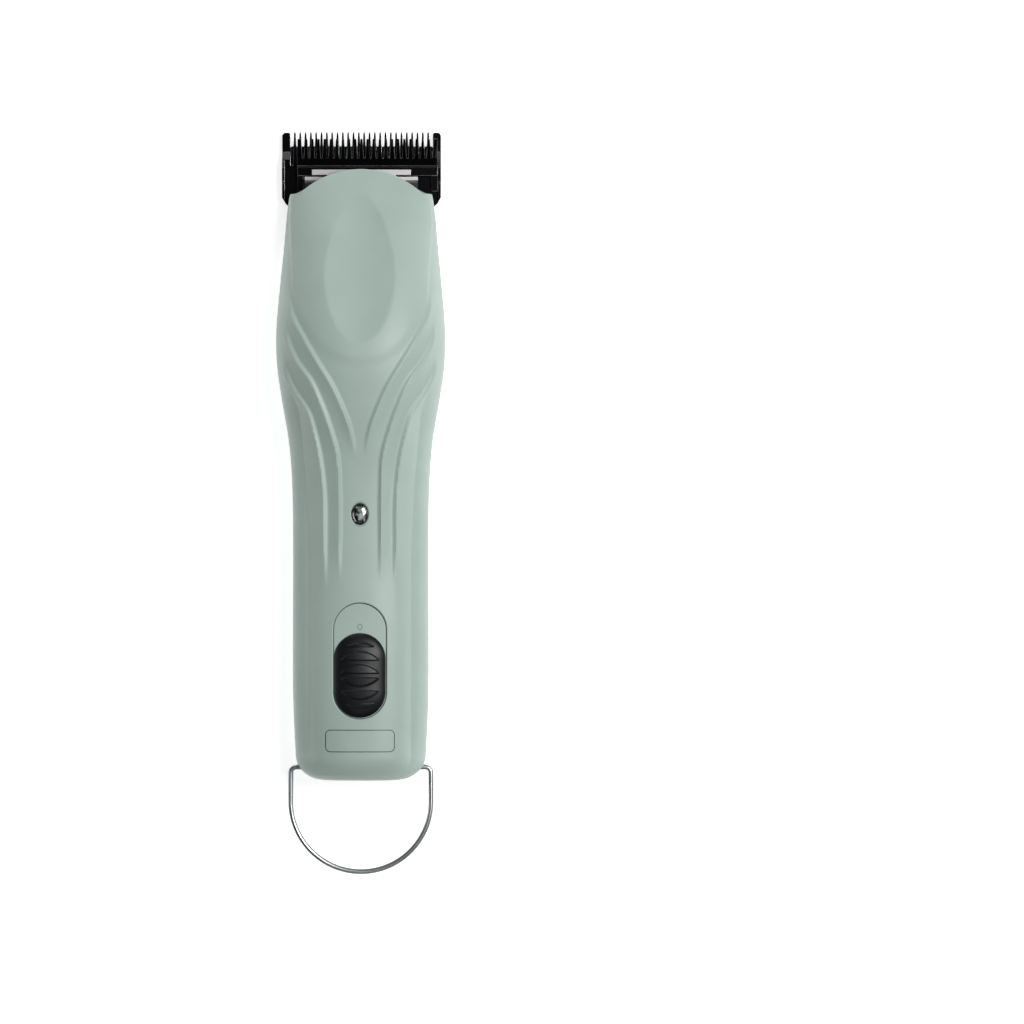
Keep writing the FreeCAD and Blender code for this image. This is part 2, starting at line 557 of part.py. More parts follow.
def make_head_frame(inner_room):
    """The metal frame that closes the body's front and carries the lever and the hinge."""
    plate = inner_room.common(box(-40, 40, 73.4, BAY_Y - 0.05, 1, 40))
    plate = plate.cut(box(-6.5, 6.5, 70, 80, 9.6, 20.5))
    plate = plate.cut(box(-4.6, 4.6, 70, 80, 0, 5.4)).cut(dish_backing(FIT))
    shelf = box(-11, 11, 59.6, 73.5, 9.2, 11.4)
    shelf = shelf.fuse(along_z(11.3, 12.7, 0, PIVOT_Y, 3.6))
    lugs = []
    for side in (-1, 1):
        x0, x1 = sorted((side * 9.2, side * 12.4))
        lugs.append(along_x(x0, x1, HINGE_Y, HINGE_Z, 2.4))
        lugs.append(box(x0, x1, BAY_Y + 0.1, HINGE_Y, HINGE_Z - 1.6, HINGE_Z + 2.4))
        lugs.append(box(x0, x1, BAY_Y - 0.5, HINGE_Y, HINGE_Z + 0.3, HINGE_Z + 2.4))
    frame = plate.fuse([shelf] + lugs)
    frame = frame.cut(along_x(-20, 20, HINGE_Y, HINGE_Z, HINGE_PIN_RADIUS + SEAT_GAP))
    ears = []
    for x, y in FRAME_SCREWS:
        ears.append(along_z(9.2, 11.4, x, y, 3.0))
        ears.append(box(min(x, 0), max(x, 0), y - 3, y + 3, 9.2, 11.4))
    frame = frame.fuse(ears)
    for x, y in FRAME_SCREWS:
        frame = frame.cut(along_z(0, 40, x, y, SCREW_SHANK + SEAT_GAP))
    keep("head_frame", frame.cut(along_z(0, 40, 0, PIVOT_Y, 2.0 + SEAT_GAP)).removeSplitter())
    post = along_z(9.3, 20.7, 0, PIVOT_Y, 2.0).cut(tube_z(20.15, 20.5, 0, PIVOT_Y, 3, 1.5))
    collars = [along_z(8.6, 9.2, 0, PIVOT_Y, 2.8), along_z(9.1, 9.4, 0, PIVOT_Y, 2.0)]
    keep("lever_post", post.fuse(collars[0]).fuse(collars[1]))
    clip = tube_z(20.17, 20.47, 0, PIVOT_Y, 3.4, 1.55).cut(box(-1.2, 1.2, PIVOT_Y, PIVOT_Y + 5, 19, 22))
    keep("post_clip", clip)
    screws = []
    for x, y in FRAME_SCREWS:
        shank = along_z(4.6, 11.4, x, y, SCREW_SHANK)
        screws.append(shank.fuse(along_z(11.4, 13.2, x, y, SCREW_HEAD)))
    keep("frame_screws", Part.makeCompound(screws))


# ---------------------------------------------------------------- blade hinge and latch
def make_hinge():
    middle = box(-4.9, 4.9, 70, HINGE_Y + 2.3, 0, HINGE_Z + 2.3)
    knuckle = along_x(-8.9, 8.9, HINGE_Y, HINGE_Z, 2.2).cut(middle)
    plate = box(-8.7, 8.7, HINGE_Y, 90.6, 5.15, 7.0)
    nose = prism_z([(-8.7, 90.5), (8.7, 90.5), (7.4, 91.4), (-7.4, 91.4)], 5.15, 7.0)
    plate = plate.cut(box(-4.9, 4.9, 70, HINGE_Y + 2.3, 0, HINGE_Z + 2.3))
    cheeks = [box(x0, x0 + 3.9, HINGE_Y, HINGE_Y + 1.9, HINGE_Z, 5.3) for x0 in (-8.8, 4.9)]
    tongue = knuckle.fuse([plate, nose] + cheeks)
    tongue = tongue.cut(along_x(-20, 20, HINGE_Y, HINGE_Z, HINGE_PIN_RADIUS + RUNNING_GAP))
    keep("hinge_tongue", tongue.removeSplitter())
    keep("hinge_pin", along_x(-12.8, 12.8, HINGE_Y, HINGE_Z, HINGE_PIN_RADIUS))
    helix = Part.makeHelix(0.95, 8.5, 1.62)
    helix.Placement = FreeCAD.Placement(V(-4.3, HINGE_Y, HINGE_Z), FreeCAD.Rotation(V(0, 0, 1), V(1, 0, 0)))
    start = helix.Edges[0].valueAt(helix.Edges[0].FirstParameter)
    along = helix.Edges[0].tangentAt(helix.Edges[0].FirstParameter)
    ring = Part.Wire(Part.Circle(start, along, 0.3).toShape())
    keep("hinge_spring", Part.Wire(helix.Edges).makePipeShell([ring], True, True))

    button = box(-6.9, 6.9, LATCH_Y0 + 2.3, LATCH_Y1 - 0.3, 0.5, 2.4)
    for k in range(5):
        y = LATCH_Y0 + 3.4 + 1.6 * k
        button = button.cut(along_x(-5.4, 5.4, y, 0.35, 0.45))
    flange = box(-8.6, 8.6, LATCH_Y0 + 1.6, LATCH_Y1 - 0.3, 3.9, 5.2)
    core = box(-6.9, 6.9, LATCH_Y0 + 2.3, LATCH_Y1 - 0.3, 2.3, 4.0)
    bolt = box(-4.2, 4.2, LATCH_Y1 - 0.5, 75.9, 3.6, 5.2)
    nose = prism_x([(75.8, 3.6), (76.1, 3.9), (76.1, 4.9), (75.8, 5.2)], -4.2, 4.2)
    keep("release_latch", button.fuse([flange, core, bolt, nose]).removeSplitter())
    coils = []
    for x in (-6.4, 6.4):
        line = Part.makeHelix(0.9, 2.7, 0.85)
        line.Placement = FreeCAD.Placement(V(x, 54.5, 4.6), FreeCAD.Rotation(V(0, 0, 1), V(0, 1, 0)))
        edge = line.Edges[0]
        first = edge.FirstParameter
        ring = Part.Wire(Part.Circle(edge.valueAt(first), edge.tangentAt(first), 0.2).toShape())
        coils.append(Part.Wire(line.Edges).makePipeShell([ring], True, True))
    keep("latch_springs", Part.makeCompound(coils))


# ---------------------------------------------------------------- blade set
COMB_GAP_ROOT_Y = 105.3
RAIL_INNER_X = 21.1
COMB_REAR_Y = 81.5
COMB_REAR_HALF = 17.0
RAIL_REAR_Y = 87.2
BLADE_SCREWS = [(12.6, 84.4), (-12.6, 84.4)]


def tooth_gap(x0_root, x1_root, x0_tip, x1_tip, root_y, z0, z1):
    """The space between two teeth: a taper that widens to the tips, with a round root."""
    r = (x1_root - x0_root) / 2
    mid = (x0_root + x1_root) / 2
    corners = [(x0_root, root_y + r), (x1_root, root_y + r), (x1_tip, TIP_Y + 1), (x0_tip, TIP_Y + 1)]
    taper = prism_z(corners, z0, z1)
    return taper.fuse(along_z(z0, z1, mid, root_y + r, r))


def make_comb():
    half = BLADE_WIDTH / 2
    profile = [(COMB_REAR_Y, COMB_BOTTOM_Z), (99, COMB_BOTTOM_Z), (104.6, 2.5), (109.0, 3.3)]
    profile += [(TIP_Y, 3.6), (TIP_Y, 4.0), (109.1, CUT_PLANE_Z), (COMB_REAR_Y, CUT_PLANE_Z)]
    comb = prism_x(profile, -half, half)
    plan = [(-COMB_REAR_HALF, COMB_REAR_Y), (COMB_REAR_HALF, COMB_REAR_Y), (COMB_REAR_HALF, 86.2)]
    rail = [(half - 2.3, RAIL_REAR_Y), (half - 1.0, 88.4), (half, 90.2), (half, 108.6), (half - 0.9, 110)]
    plan += rail + [(-x, y) for x, y in reversed(rail)]
    plan += [(-COMB_REAR_HALF, 86.2)]
    comb = comb.common(prism_z(plan, -1, 9))
    teeth = [COMB_PITCH * (k - (COMB_TEETH - 1) / 2) for k in range(COMB_TEETH)]
    rights = [-RAIL_INNER_X] + [x + 0.38 for x in teeth]
    lefts = [x - 0.38 for x in teeth] + [RAIL_INNER_X]
    gaps, grooves = [], []
    for a, b in zip(rights, lefts):
        flare = 0.16
        gaps.append(tooth_gap(a, b, a - flare, b + flare, COMB_GAP_ROOT_Y, -1, 9))
        grooves.append(box(a + 0.08, b - 0.08, 99.6, COMB_GAP_ROOT_Y + 0.5, CUT_PLANE_Z - 0.6, 6))
    comb = comb.cut(gaps + grooves)
    # outside the teeth the rails step down to a flat nose with a rounded corner
    relief = [(103.7, 2.6), (101.5, CUT_PLANE_Z), (101.5, 6.5), (112, 6.5), (112, 2.6)]
    nose = [(RAIL_INNER_X, 101), (half, 101), (half, 108.6), (half - 0.3, 109.15), (half - 0.8, 109.45)]
    nose += [(RAIL_INNER_X + 0.4, 109.45), (RAIL_INNER_X, 109.1)]
    for side in (-1, 1):
        x0, x1 = sorted((side * 20.9, side * 24.5))
        comb = comb.cut(prism_x(relief, x0, x1))
        comb = comb.fuse(prism_z([(side * x, y) for x, y in nose], 1.5, 2.6))
    # raised lips along the outer edges, stepped towards the rear
    lip = [(RAIL_REAR_Y, 4.2), (RAIL_REAR_Y, 4.6), (89.5, 5.4), (94.2, 5.4)]
    lip += [(94.8, 5.9), (99.0, 5.9), (101.0, 4.3), (101.0, 4.2)]
    lips = [prism_x(lip, x, x + 0.7).common(prism_z(plan, -1, 9)) for x in (-half, half - 0.7)]
    comb = comb.fuse(lips)
    for x, y in BLADE_SCREWS:
        comb = comb.cut(along_z(-1, 9, x, y, 1.5))
    keep("comb_blade", comb)


def make_cutter():
    half = CUTTER_WIDTH / 2
    low = CUT_PLANE_Z + 0.04
    profile = [(96.6, low), (107.5, low), (107.5, 5.0), (101.6, 6.9), (99.4, 7.3), (99.0, 6.6), (96.6, 6.6)]
    cutter = prism_x(profile, -half, half)
    gaps = []
    for k in range(CUTTER_GAPS):
        x = CUTTER_PITCH * (k - (CUTTER_GAPS - 1) / 2)
        gaps.append(tooth_gap(x - 0.26, x + 0.26, x - 0.8, x + 0.8, 101.7, 0, 9))
    cutter = cutter.cut(gaps)
    arms = [box(x, x + 1.7, 92.0, 96.7, low, 6.2) for x in (-half, half - 1.7)]
    seat = box(-4.2, 4.2, 91.9, 96.65, low, 7.0)
    cutter = cutter.fuse(arms + [seat]).cut(box(-1.62, 1.62, 91, 95.7, 0, 9))
    cutter.translate(V(STROKE_HALF, 0, 0))
    keep("cutter_blade", cutter.removeSplitter())


def make_blade_mount():
    """Socket, tension spring, guide and screws: they hold the cutter down on the comb."""
    deck = CUT_PLANE_Z
    base = box(-10.0, 10.0, COMB_REAR_Y + 0.1, 91.5, deck, deck + 0.75)
    feet = [box(x, x + 5.4, 82.0, 87.0, deck, deck + 0.75) for x in (-15.3, 9.9)]
    walls, lips, wings = [], [], []
    for side in (-1, 1):
        x0, x1 = sorted((side * 8.95, side * 10.0))
        walls.append(box(x0, x1, COMB_REAR_Y + 0.1, 91.5, deck, 8.0))
        x0, x1 = sorted((side * 6.4, side * 10.0))
        lips.append(box(x0, x1, COMB_REAR_Y + 0.1, 91.5, 7.25, 8.0))
        x0, x1 = sorted((side * 8.6, side * 16.7))
        hem = [(91.4, 6.5), (96.2, 6.6), (96.2, 7.15), (95.2, 7.15), (94.4, 6.9), (91.4, 7.1)]
        wings.append(prism_x(hem, x0, x1))
        x0, x1 = sorted((side * 8.95, side * 16.7))
        wings.append(box(x0, x1, 89.5, 91.5, 6.5, 7.1))
    socket = base.fuse(feet + walls + lips + wings)
    for x, y in BLADE_SCREWS:
        socket = socket.cut(along_z(0, 9, x, y, 1.6))
    keep("blade_socket", socket.removeSplitter())

    # each leg climbs beside the socket, then runs in towards the middle and meets the front bar
    strip = [(82.2, 5.05), (87.0, 5.05), (89.1, 7.75), (90.6, 7.75)]
    strip += [(90.6, 8.3), (88.8, 8.3), (86.7, 5.6), (82.2, 5.6)]
    reach = [(14.6, 90.4), (14.6, 91.6), (10.2, 94.8), (10.2, 97.0)]
    reach += [(6.4, 97.0), (6.4, 94.6), (10.4, 91.8), (10.4, 90.4)]
    spring = box(-14.6, 14.6, 96.7, 98.3, 7.75, 8.3)
    for side in (-1, 1):
        x0, x1 = sorted((side * 10.4, side * 14.6))
        inward = prism_z([(side * x, y) for x, y in reach], 7.75, 8.3)
        spring = spring.fuse([prism_x(strip, x0, x1), inward])
    for x, y in BLADE_SCREWS:
        spring = spring.cut(along_z(0, 9, x, y, 1.6))
    keep("tension_spring", spring.removeSplitter())
    keep("blade_guide", box(-13.6, 13.6, 96.9, 98.2, 6.65, 7.75))
    screws = []
    for x, y in BLADE_SCREWS:
        screw = along_z(1.4, 5.7, x, y, 1.5).fuse(along_z(5.6, 7.0, x, y, 2.1))
        screws.append(screw.cut(box(x - 2.5, x + 2.5, y - 0.3, y + 0.3, 6.4, 8)))
    keep("blade_screws", Part.makeCompound(screws))


# ---------------------------------------------------------------- loop, screws, assembly
def make_loop():
    side_x = LOOP_RADIUS
    centre_y = -TIP_Y + WIRE_RADIUS + LOOP_RADIUS
    corner = LOOP_CORNER
    inner_x = 15.4
    pieces = []
    z = LOOP_PIVOT_Z
    left_in, left_out = V(-inner_x, LOOP_PIVOT_Y, z), V(-side_x + corner, LOOP_PIVOT_Y, z)
    reach = corner * (1 - math.sqrt(0.5))
    left_mid = V(-side_x + reach, LOOP_PIVOT_Y - reach, z)
    left_down = V(-side_x, LOOP_PIVOT_Y - corner, z)
    arc_start = V(-side_x, centre_y, z)
    pieces.append(Part.LineSegment(left_in, left_out).toShape())
    pieces.append(Part.Arc(left_out, left_mid, left_down).toShape())
    pieces.append(Part.LineSegment(left_down, arc_start).toShape())
    bottom = V(0, centre_y - LOOP_RADIUS, z)
    pieces.append(Part.Arc(arc_start, bottom, V(side_x, centre_y, z)).toShape())
    flip = [V(-p.x, p.y, p.z) for p in (arc_start, left_down, left_mid, left_out, left_in)]
    pieces.append(Part.LineSegment(flip[0], flip[1]).toShape())
    pieces.append(Part.Arc(flip[1], flip[2], flip[3]).toShape())
    pieces.append(Part.LineSegment(flip[3], flip[4]).toShape())
    ring = Part.Wire(Part.Circle(left_in, V(1, 0, 0), WIRE_RADIUS).toShape())
    keep("hanging_loop", Part.Wire(pieces).makePipeShell([ring], True, False))
    bushes = []
    for x0 in (-16.4, 14.9):
        bore = along_x(-30, 30, LOOP_PIVOT_Y, z, WIRE_RADIUS + 0.05)
        bushes.append(along_x(x0, x0 + 1.5, LOOP_PIVOT_Y, z, 1.7).cut(bore))
    inner = body_form(WALL + 0.1, BODY_REAR_Y + WALL + 0.1, 60, SLICES)
    keep("loop_bushes", Part.makeCompound([b.common(inner) for b in bushes]))


def make_screws():
    screws = []
    for x, y in HOUSING_SCREWS:
        shank = along_z(HEAD_SEAT_Z - 0.1, station(y, 4) + 8.5, x, y, SCREW_SHANK)
        head = along_z(HEAD_SEAT_Z - 1.8, HEAD_SEAT_Z, x, y, SCREW_HEAD)
        cross = box(x - 1.4, x + 1.4, y - 0.3, y + 0.3, 0, HEAD_SEAT_Z - 0.9)
        cross = cross.fuse(box(x - 0.3, x + 0.3, y - 1.4, y + 1.4, 0, HEAD_SEAT_Z - 0.9))
        screws.append(shank.fuse(head).cut(cross))
    keep("housing_screws", Part.makeCompound(screws))


def main():
    make_covers()
    make_power()
    make_wires()
    make_switch()
    make_indicator()
    make_motor()
    make_drive()
    make_head_frame(body_form(WALL + FIT, BODY_REAR_Y + 5, 99.5, SLICES))
    make_hinge()
    make_comb()
    make_cutter()
    make_blade_mount()
    make_loop()
    make_screws()
    os.makedirs("parts", exist_ok=True)
    for name, shape in PARTS.items():
        solids = shape.Solids
        shape = solids[0] if len(solids) == 1 else Part.makeCompound(solids)
        shape.exportStep(f"parts/{name}.step")
        box_ = shape.BoundBox
        print(f"{name:20s} {len(solids)} solids, valid {shape.isValid()}, {shape.Volume:9.1f} mm3,", end=" ")
        print(f"x {box_.XMin:.1f}..{box_.XMax:.1f} y {box_.YMin:.1f}..{box_.YMax:.1f}", end=" ")
        print(f"z {box_.ZMin:.1f}..{box_.ZMax:.1f}")


main()
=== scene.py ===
"""Looks for the cordless hair clipper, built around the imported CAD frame.

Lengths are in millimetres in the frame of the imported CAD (+Y to the blade, +Z out of the face).
They become metres when a mesh is made. Light positions and sizes are in metres.
"""

import json
import math

import bmesh
import bpy
import numpy as np
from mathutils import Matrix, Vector


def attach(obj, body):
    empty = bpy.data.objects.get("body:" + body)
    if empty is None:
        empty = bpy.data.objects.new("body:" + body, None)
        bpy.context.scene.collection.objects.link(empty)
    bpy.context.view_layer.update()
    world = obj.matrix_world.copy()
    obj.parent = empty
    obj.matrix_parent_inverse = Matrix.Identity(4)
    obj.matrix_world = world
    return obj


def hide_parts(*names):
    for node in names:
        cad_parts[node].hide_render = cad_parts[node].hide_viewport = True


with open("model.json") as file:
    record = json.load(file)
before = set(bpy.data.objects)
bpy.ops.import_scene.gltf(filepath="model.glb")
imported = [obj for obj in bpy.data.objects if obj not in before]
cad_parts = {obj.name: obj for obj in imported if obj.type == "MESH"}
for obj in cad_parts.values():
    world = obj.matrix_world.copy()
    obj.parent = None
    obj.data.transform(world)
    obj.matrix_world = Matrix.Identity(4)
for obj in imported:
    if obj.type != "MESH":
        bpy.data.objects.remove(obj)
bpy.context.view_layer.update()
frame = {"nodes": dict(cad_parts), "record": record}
MM = 0.001  # a millimetre, in metres

# ------------------------------------------------------------------ camera
LENS, SENSOR = 300.0, 36.0
VIEW_WIDTH = 302.1  # width seen at the blade's height
AIM_X, AIM_Y, AIM_Z = 44.5, -2.8, 10.0
camera_data = bpy.data.cameras.new("camera")
camera_data.lens = LENS
camera_data.sensor_width = SENSOR
camera_data.clip_end = 20.0
camera = bpy.data.objects.new("camera", camera_data)
bpy.context.scene.collection.objects.link(camera)
DISTANCE = VIEW_WIDTH * LENS / SENSOR
camera.location = (AIM_X * MM, AIM_Y * MM, (AIM_Z + DISTANCE) * MM)
bpy.context.scene.camera = camera

# ------------------------------------------------------------------ the body's form
# y, half width, height of the face, height of the back and height of the parting line
STATIONS = np.array([
    (-81.6, 18.8, 31.2, 1.2, 15.0),
    (-58.0, 19.9, 31.8, -0.5, 15.2),
    (-38.0, 20.0, 31.9, 0.3, 15.4),
    (-14.0, 19.95, 31.4, 1.6, 15.6),
    (5.0, 20.2, 31.8, 1.8, 15.8),
    (18.0, 21.2, 33.2, 1.2, 16.0),
    (30.0, 23.2, 35.0, 0.2, 16.1),
    (40.0, 24.6, 36.1, -0.4, 16.0),
    (50.0, 24.9, 35.9, -0.6, 15.5),
    (62.0, 24.0, 33.4, 0.0, 14.2),
    (76.0, 22.65, 27.6, 1.0, 11.5),
    (84.5, 21.9, 22.8, 2.6, 11.5),
    (91.0, 20.9, 18.9, 4.2, 11.5),
    (99.5, 18.6, 13.9, 6.0, 11.5),
])
FACE_POWER, BACK_POWER = 2.35, 3.0
REAR_Y, REAR_ROUND, REAR_INSET_X, REAR_INSET_Z = -81.6, 7.0, 8.0, 6.5
WALL = 2.2
HOOD_Y = 80.0  # rows in front of this run on to the arch of the nose
NOSE_Y, SHOULDER_Y, SHOULDER_X, ARCH_RADIUS = 98.3, 90.6, 18.0, 26.0
BAY_Y = 76.0
EDGE = 0.35  # rounding of moulded edges
EDGE_STEPS = np.array([1.0, 0.7, 0.42, 0.2, 0.06, 0.0])  # rows across a rounding, as shares of it


def station(y, column):
    """A smooth value between the stations, as in the CAD."""
    y = np.clip(np.asarray(y, float), STATIONS[0, 0], STATIONS[-1, 0])
    ys, vs = STATIONS[:, 0], STATIONS[:, column]
    i = np.clip(np.searchsorted(ys, y, side="right") - 1, 0, len(ys) - 2)
    order = np.arange(len(ys))
    before, after = np.maximum(order - 1, 0), np.minimum(order + 1, len(ys) - 1)
    slope = (vs[after] - vs[before]) / (ys[after] - ys[before])
    h = ys[i + 1] - ys[i]
    t = (y - ys[i]) / h
    rise = 3 * t**2 - 2 * t**3
    lean = slope[i] * t * (1 - t) ** 2 - slope[i + 1] * t**2 * (1 - t)
    return vs[i] * (1 - rise) + vs[i + 1] * rise + h * lean


def power(value, exponent):
    """The power of the size of a value, with its sign kept."""
    return np.sign(value) * np.abs(value) ** exponent


def skin(y, angle, inset=0.0):
    """Points of the body's surface at stations y and section angles, that far inside it."""
    t = np.clip((y - REAR_Y) / REAR_ROUND, 0, 1)
    curl = 1 - np.sqrt(np.maximum(0, 1 - (1 - t) ** 2))
    parting = station(y, 4)
    half = station(y, 1) - REAR_INSET_X * curl - inset
    s = np.sin(angle)
    upper = s >= 0
    top = station(y, 2) - REAR_INSET_Z * curl - inset - parting
    bottom = parting - (station(y, 3) + REAR_INSET_Z * curl + inset)
    x = half * np.where(upper, power(np.cos(angle), 2 / FACE_POWER), power(np.cos(angle), 2 / BACK_POWER))
    z = parting + np.where(upper, top * np.abs(s) ** (2 / FACE_POWER), -bottom * np.abs(s) ** (2 / BACK_POWER))
    return np.stack([x, y, z], -1)


def face_height(x, y):
    """Height of the face without its relief."""
    parting = station(y, 4)
    across = np.clip(np.abs(x) / station(y, 1), 0, 1)
    return parting + (station(y, 2) - parting) * (1 - across**FACE_POWER) ** (1 / FACE_POWER)


def back_height(x, y):
    """Height of the back."""
    parting = station(y, 4)
    across = np.clip(np.abs(x) / station(y, 1), 0, 1)
    z = parting - (parting - station(y, 3)) * (1 - across**BACK_POWER) ** (1 / BACK_POWER)
    return soft_floor(z)


def soft_floor(z):
    """The back is flat where it rests: heights below the table are cut off, with a soft edge."""
    r = 0.25
    return np.where(z > r, z, np.where(z < -r, 0.0, (z + r) ** 2 / (4 * r)))


def even_angles(first, last, exponent, width, height, spacing, ends):
    """Section angles at even steps along the arc, with closer ones at the rounded ends."""
    a = np.linspace(first, last, 4001)
    x = width * power(np.cos(a), 2 / exponent)
    z = height * np.abs(np.sin(a)) ** (2 / exponent)
    run = np.concatenate([[0], np.cumsum(np.hypot(np.diff(x), np.diff(z)))])
    inner = np.linspace(EDGE * 1.2, run[-1] - EDGE * 1.2, int(run[-1] / spacing))
    fine = EDGE * EDGE_STEPS[::-1] if ends else np.array([0.0])
    at = np.concatenate([fine, inner, run[-1] - fine[::-1]])
    return np.interp(at, run, a), np.minimum(at, run[-1] - at)


def rounding(distance):
    """How far a rounded edge drops at that distance from it."""
    d = np.clip(distance, 0, EDGE)
    return EDGE - np.sqrt(np.maximum(EDGE**2 - (EDGE - d) ** 2, 0))


def smooth(a, b, value):
    """Runs softly from 0 at a to 1 at b."""
    t = np.clip((value - a) / (b - a), 0, 1)
    return t * t * (3 - 2 * t)


# ------------------------------------------------------------------ features of the face
DISH_Y, DISH_HALF_LENGTH, DISH_HALF_WIDTH, DISH_DEPTH = 68.6, 21.9, 10.6, 2.1
DISH_TAPER, DISH_TAPER_Y, DISH_SOFTNESS = 0.009, 66.0, 0.03
CUSHION_HALF_LENGTH, CUSHION_HALF_WIDTH, CUSHION_HEIGHT = 28.4, 20.6, 0.3

# Each grip ridge: (distance from the middle line, y) down its crest, then where it fades out.
RIDGES = [
    ([(21.3, 63.0), (20.9, 59.7), (20.0, 55.3), (16.4, 48.0), (12.3, 40.9), (8.7, 35.0), (5.5, 28.2), (3.3, 22.3),
      (2.1, 16.8), (1.7, 11.0)], (64.0, 56.0), (12.5, 24.0)),
    ([(22.0, 53.5), (21.3, 48.5), (18.7, 41.7), (14.5, 35.8), (11.4, 29.0), (8.7, 21.4), (6.9, 14.6), (6.2, 3.4),
      (6.2, -11.0), (6.2, -26.0)], (55.0, 46.0), (-24.0, -8.0)),
    ([(22.4, 43.5), (21.8, 38.5), (19.1, 32.3), (15.4, 26.8), (13.2, 20.0), (11.4, 11.0), (10.5, 1.0), (10.4, -11.0),
      (10.4, -28.0)], (44.0, 36.0), (-28.0, -10.0)),
]
RIDGE_HEIGHT, RIDGE_INNER, RIDGE_OUTER = 0.9, 1.0, 4.6

# How far from the middle line the crease along each side runs, and the head's step, at those y
CREASE_Y = (-81, -74, -14, 4, 27, 36, 50)
CREASE_X = (13.6, 15.6, 15.7, 16.6, 18.7, 20.6, 22.0)
CREASE_DEPTH, CREASE_INNER, CREASE_OUTER = 1.1, 5.5, 3.6
STEP_Y = (44, 56, 68, 83, 92)
STEP_X = (20.4, 19.4, 19.9, 20.8, 20.4)
STEP_DEPTH = 0.48


def through(points, y):
    """Distance from the middle line along a smooth curve through (distance, y) points, and its slope."""
    p = np.array(points)[::-1]
    ys, xs = p[:, 1], p[:, 0]
    slope = np.gradient(xs, ys)
    y = np.clip(y, ys[0], ys[-1])
    i = np.clip(np.searchsorted(ys, y, side="right") - 1, 0, len(ys) - 2)
    h = ys[i + 1] - ys[i]
    t = (y - ys[i]) / h
    value = (xs[i] * (1 + 2 * t) * (1 - t) ** 2 + xs[i + 1] * t**2 * (3 - 2 * t)
             + h * slope[i] * t * (1 - t) ** 2 - h * slope[i + 1] * t**2 * (1 - t))
    return value, np.interp(y, ys, slope)


def relief(x, y):
    """Height of the moulded relief on the face at (x, y)."""
    ax = np.abs(x)
    # thumb dish, narrower towards the blade
    width = DISH_HALF_WIDTH * (1 - DISH_TAPER * np.maximum(0, y - DISH_TAPER_Y))
    e = np.sqrt((ax / width) ** 2 + ((y - DISH_Y) / DISH_HALF_LENGTH) ** 2)
    bowl = 1 - e**2
    d = -DISH_DEPTH * 0.5 * (bowl + np.sqrt(bowl**2 + DISH_SOFTNESS**2)) * (e < 1.3)
    # cushion round the dish, ending in a soft fold
    fold = np.sqrt((ax / CUSHION_HALF_WIDTH) ** 2 + ((y - DISH_Y) / CUSHION_HALF_LENGTH) ** 2)
    d = d + CUSHION_HEIGHT * (1 - smooth(0.90, 1.05, fold)) * smooth(0.35, 0.95, fold) * smooth(64, 52, y)
    # grip ridges: a short steep inner flank and a long hollow outer one
    for points, fade_in, fade_out in RIDGES:
        crest, slope = through(points, y)
        across = (ax - crest) / np.sqrt(1 + slope**2)
        rise = smooth(-RIDGE_INNER, 0.0, across)
        fall = np.clip(1 - across / RIDGE_OUTER, 0, 1) ** 2.5
        height = smooth(fade_in[0], fade_in[1], y) * smooth(fade_out[0], fade_out[1], y)
        d = d + RIDGE_HEIGHT * height * np.where(across < 0, rise, fall)
    # the face falls away to a soft crease, and a nearly level shoulder runs outside it
    wall = np.interp(y, CREASE_Y, CREASE_X)
    inner = np.clip((ax - wall + CREASE_INNER) / CREASE_INNER, 0, 1) ** 1.7
    outer = np.clip(1 - (ax - wall) / CREASE_OUTER, 0, 1) ** 1.25
    d = d - CREASE_DEPTH * np.where(ax < wall, inner, outer) * smooth(-80, -72, y) * smooth(42, 20, y)
    # step down to the side walls along the head
    edge = np.interp(y, STEP_Y, STEP_X)
    return d - STEP_DEPTH * smooth(50, 62, y) * smooth(edge - 0.1, edge + 1.0, ax) * smooth(94, 88, y)


def face_surface(x, y):
    """Height of the face with its relief."""
    return face_height(x, y) + relief(x, y)


# ------------------------------------------------------------------ mesh helpers
def grid_normals(p):
    """Unit normals of a grid of points."""
    du, dv = np.gradient(p, axis=0), np.gradient(p, axis=1)
    n = np.cross(dv, du)
    length = np.linalg.norm(n, axis=-1, keepdims=True)
    return n / np.maximum(length, 1e-12)


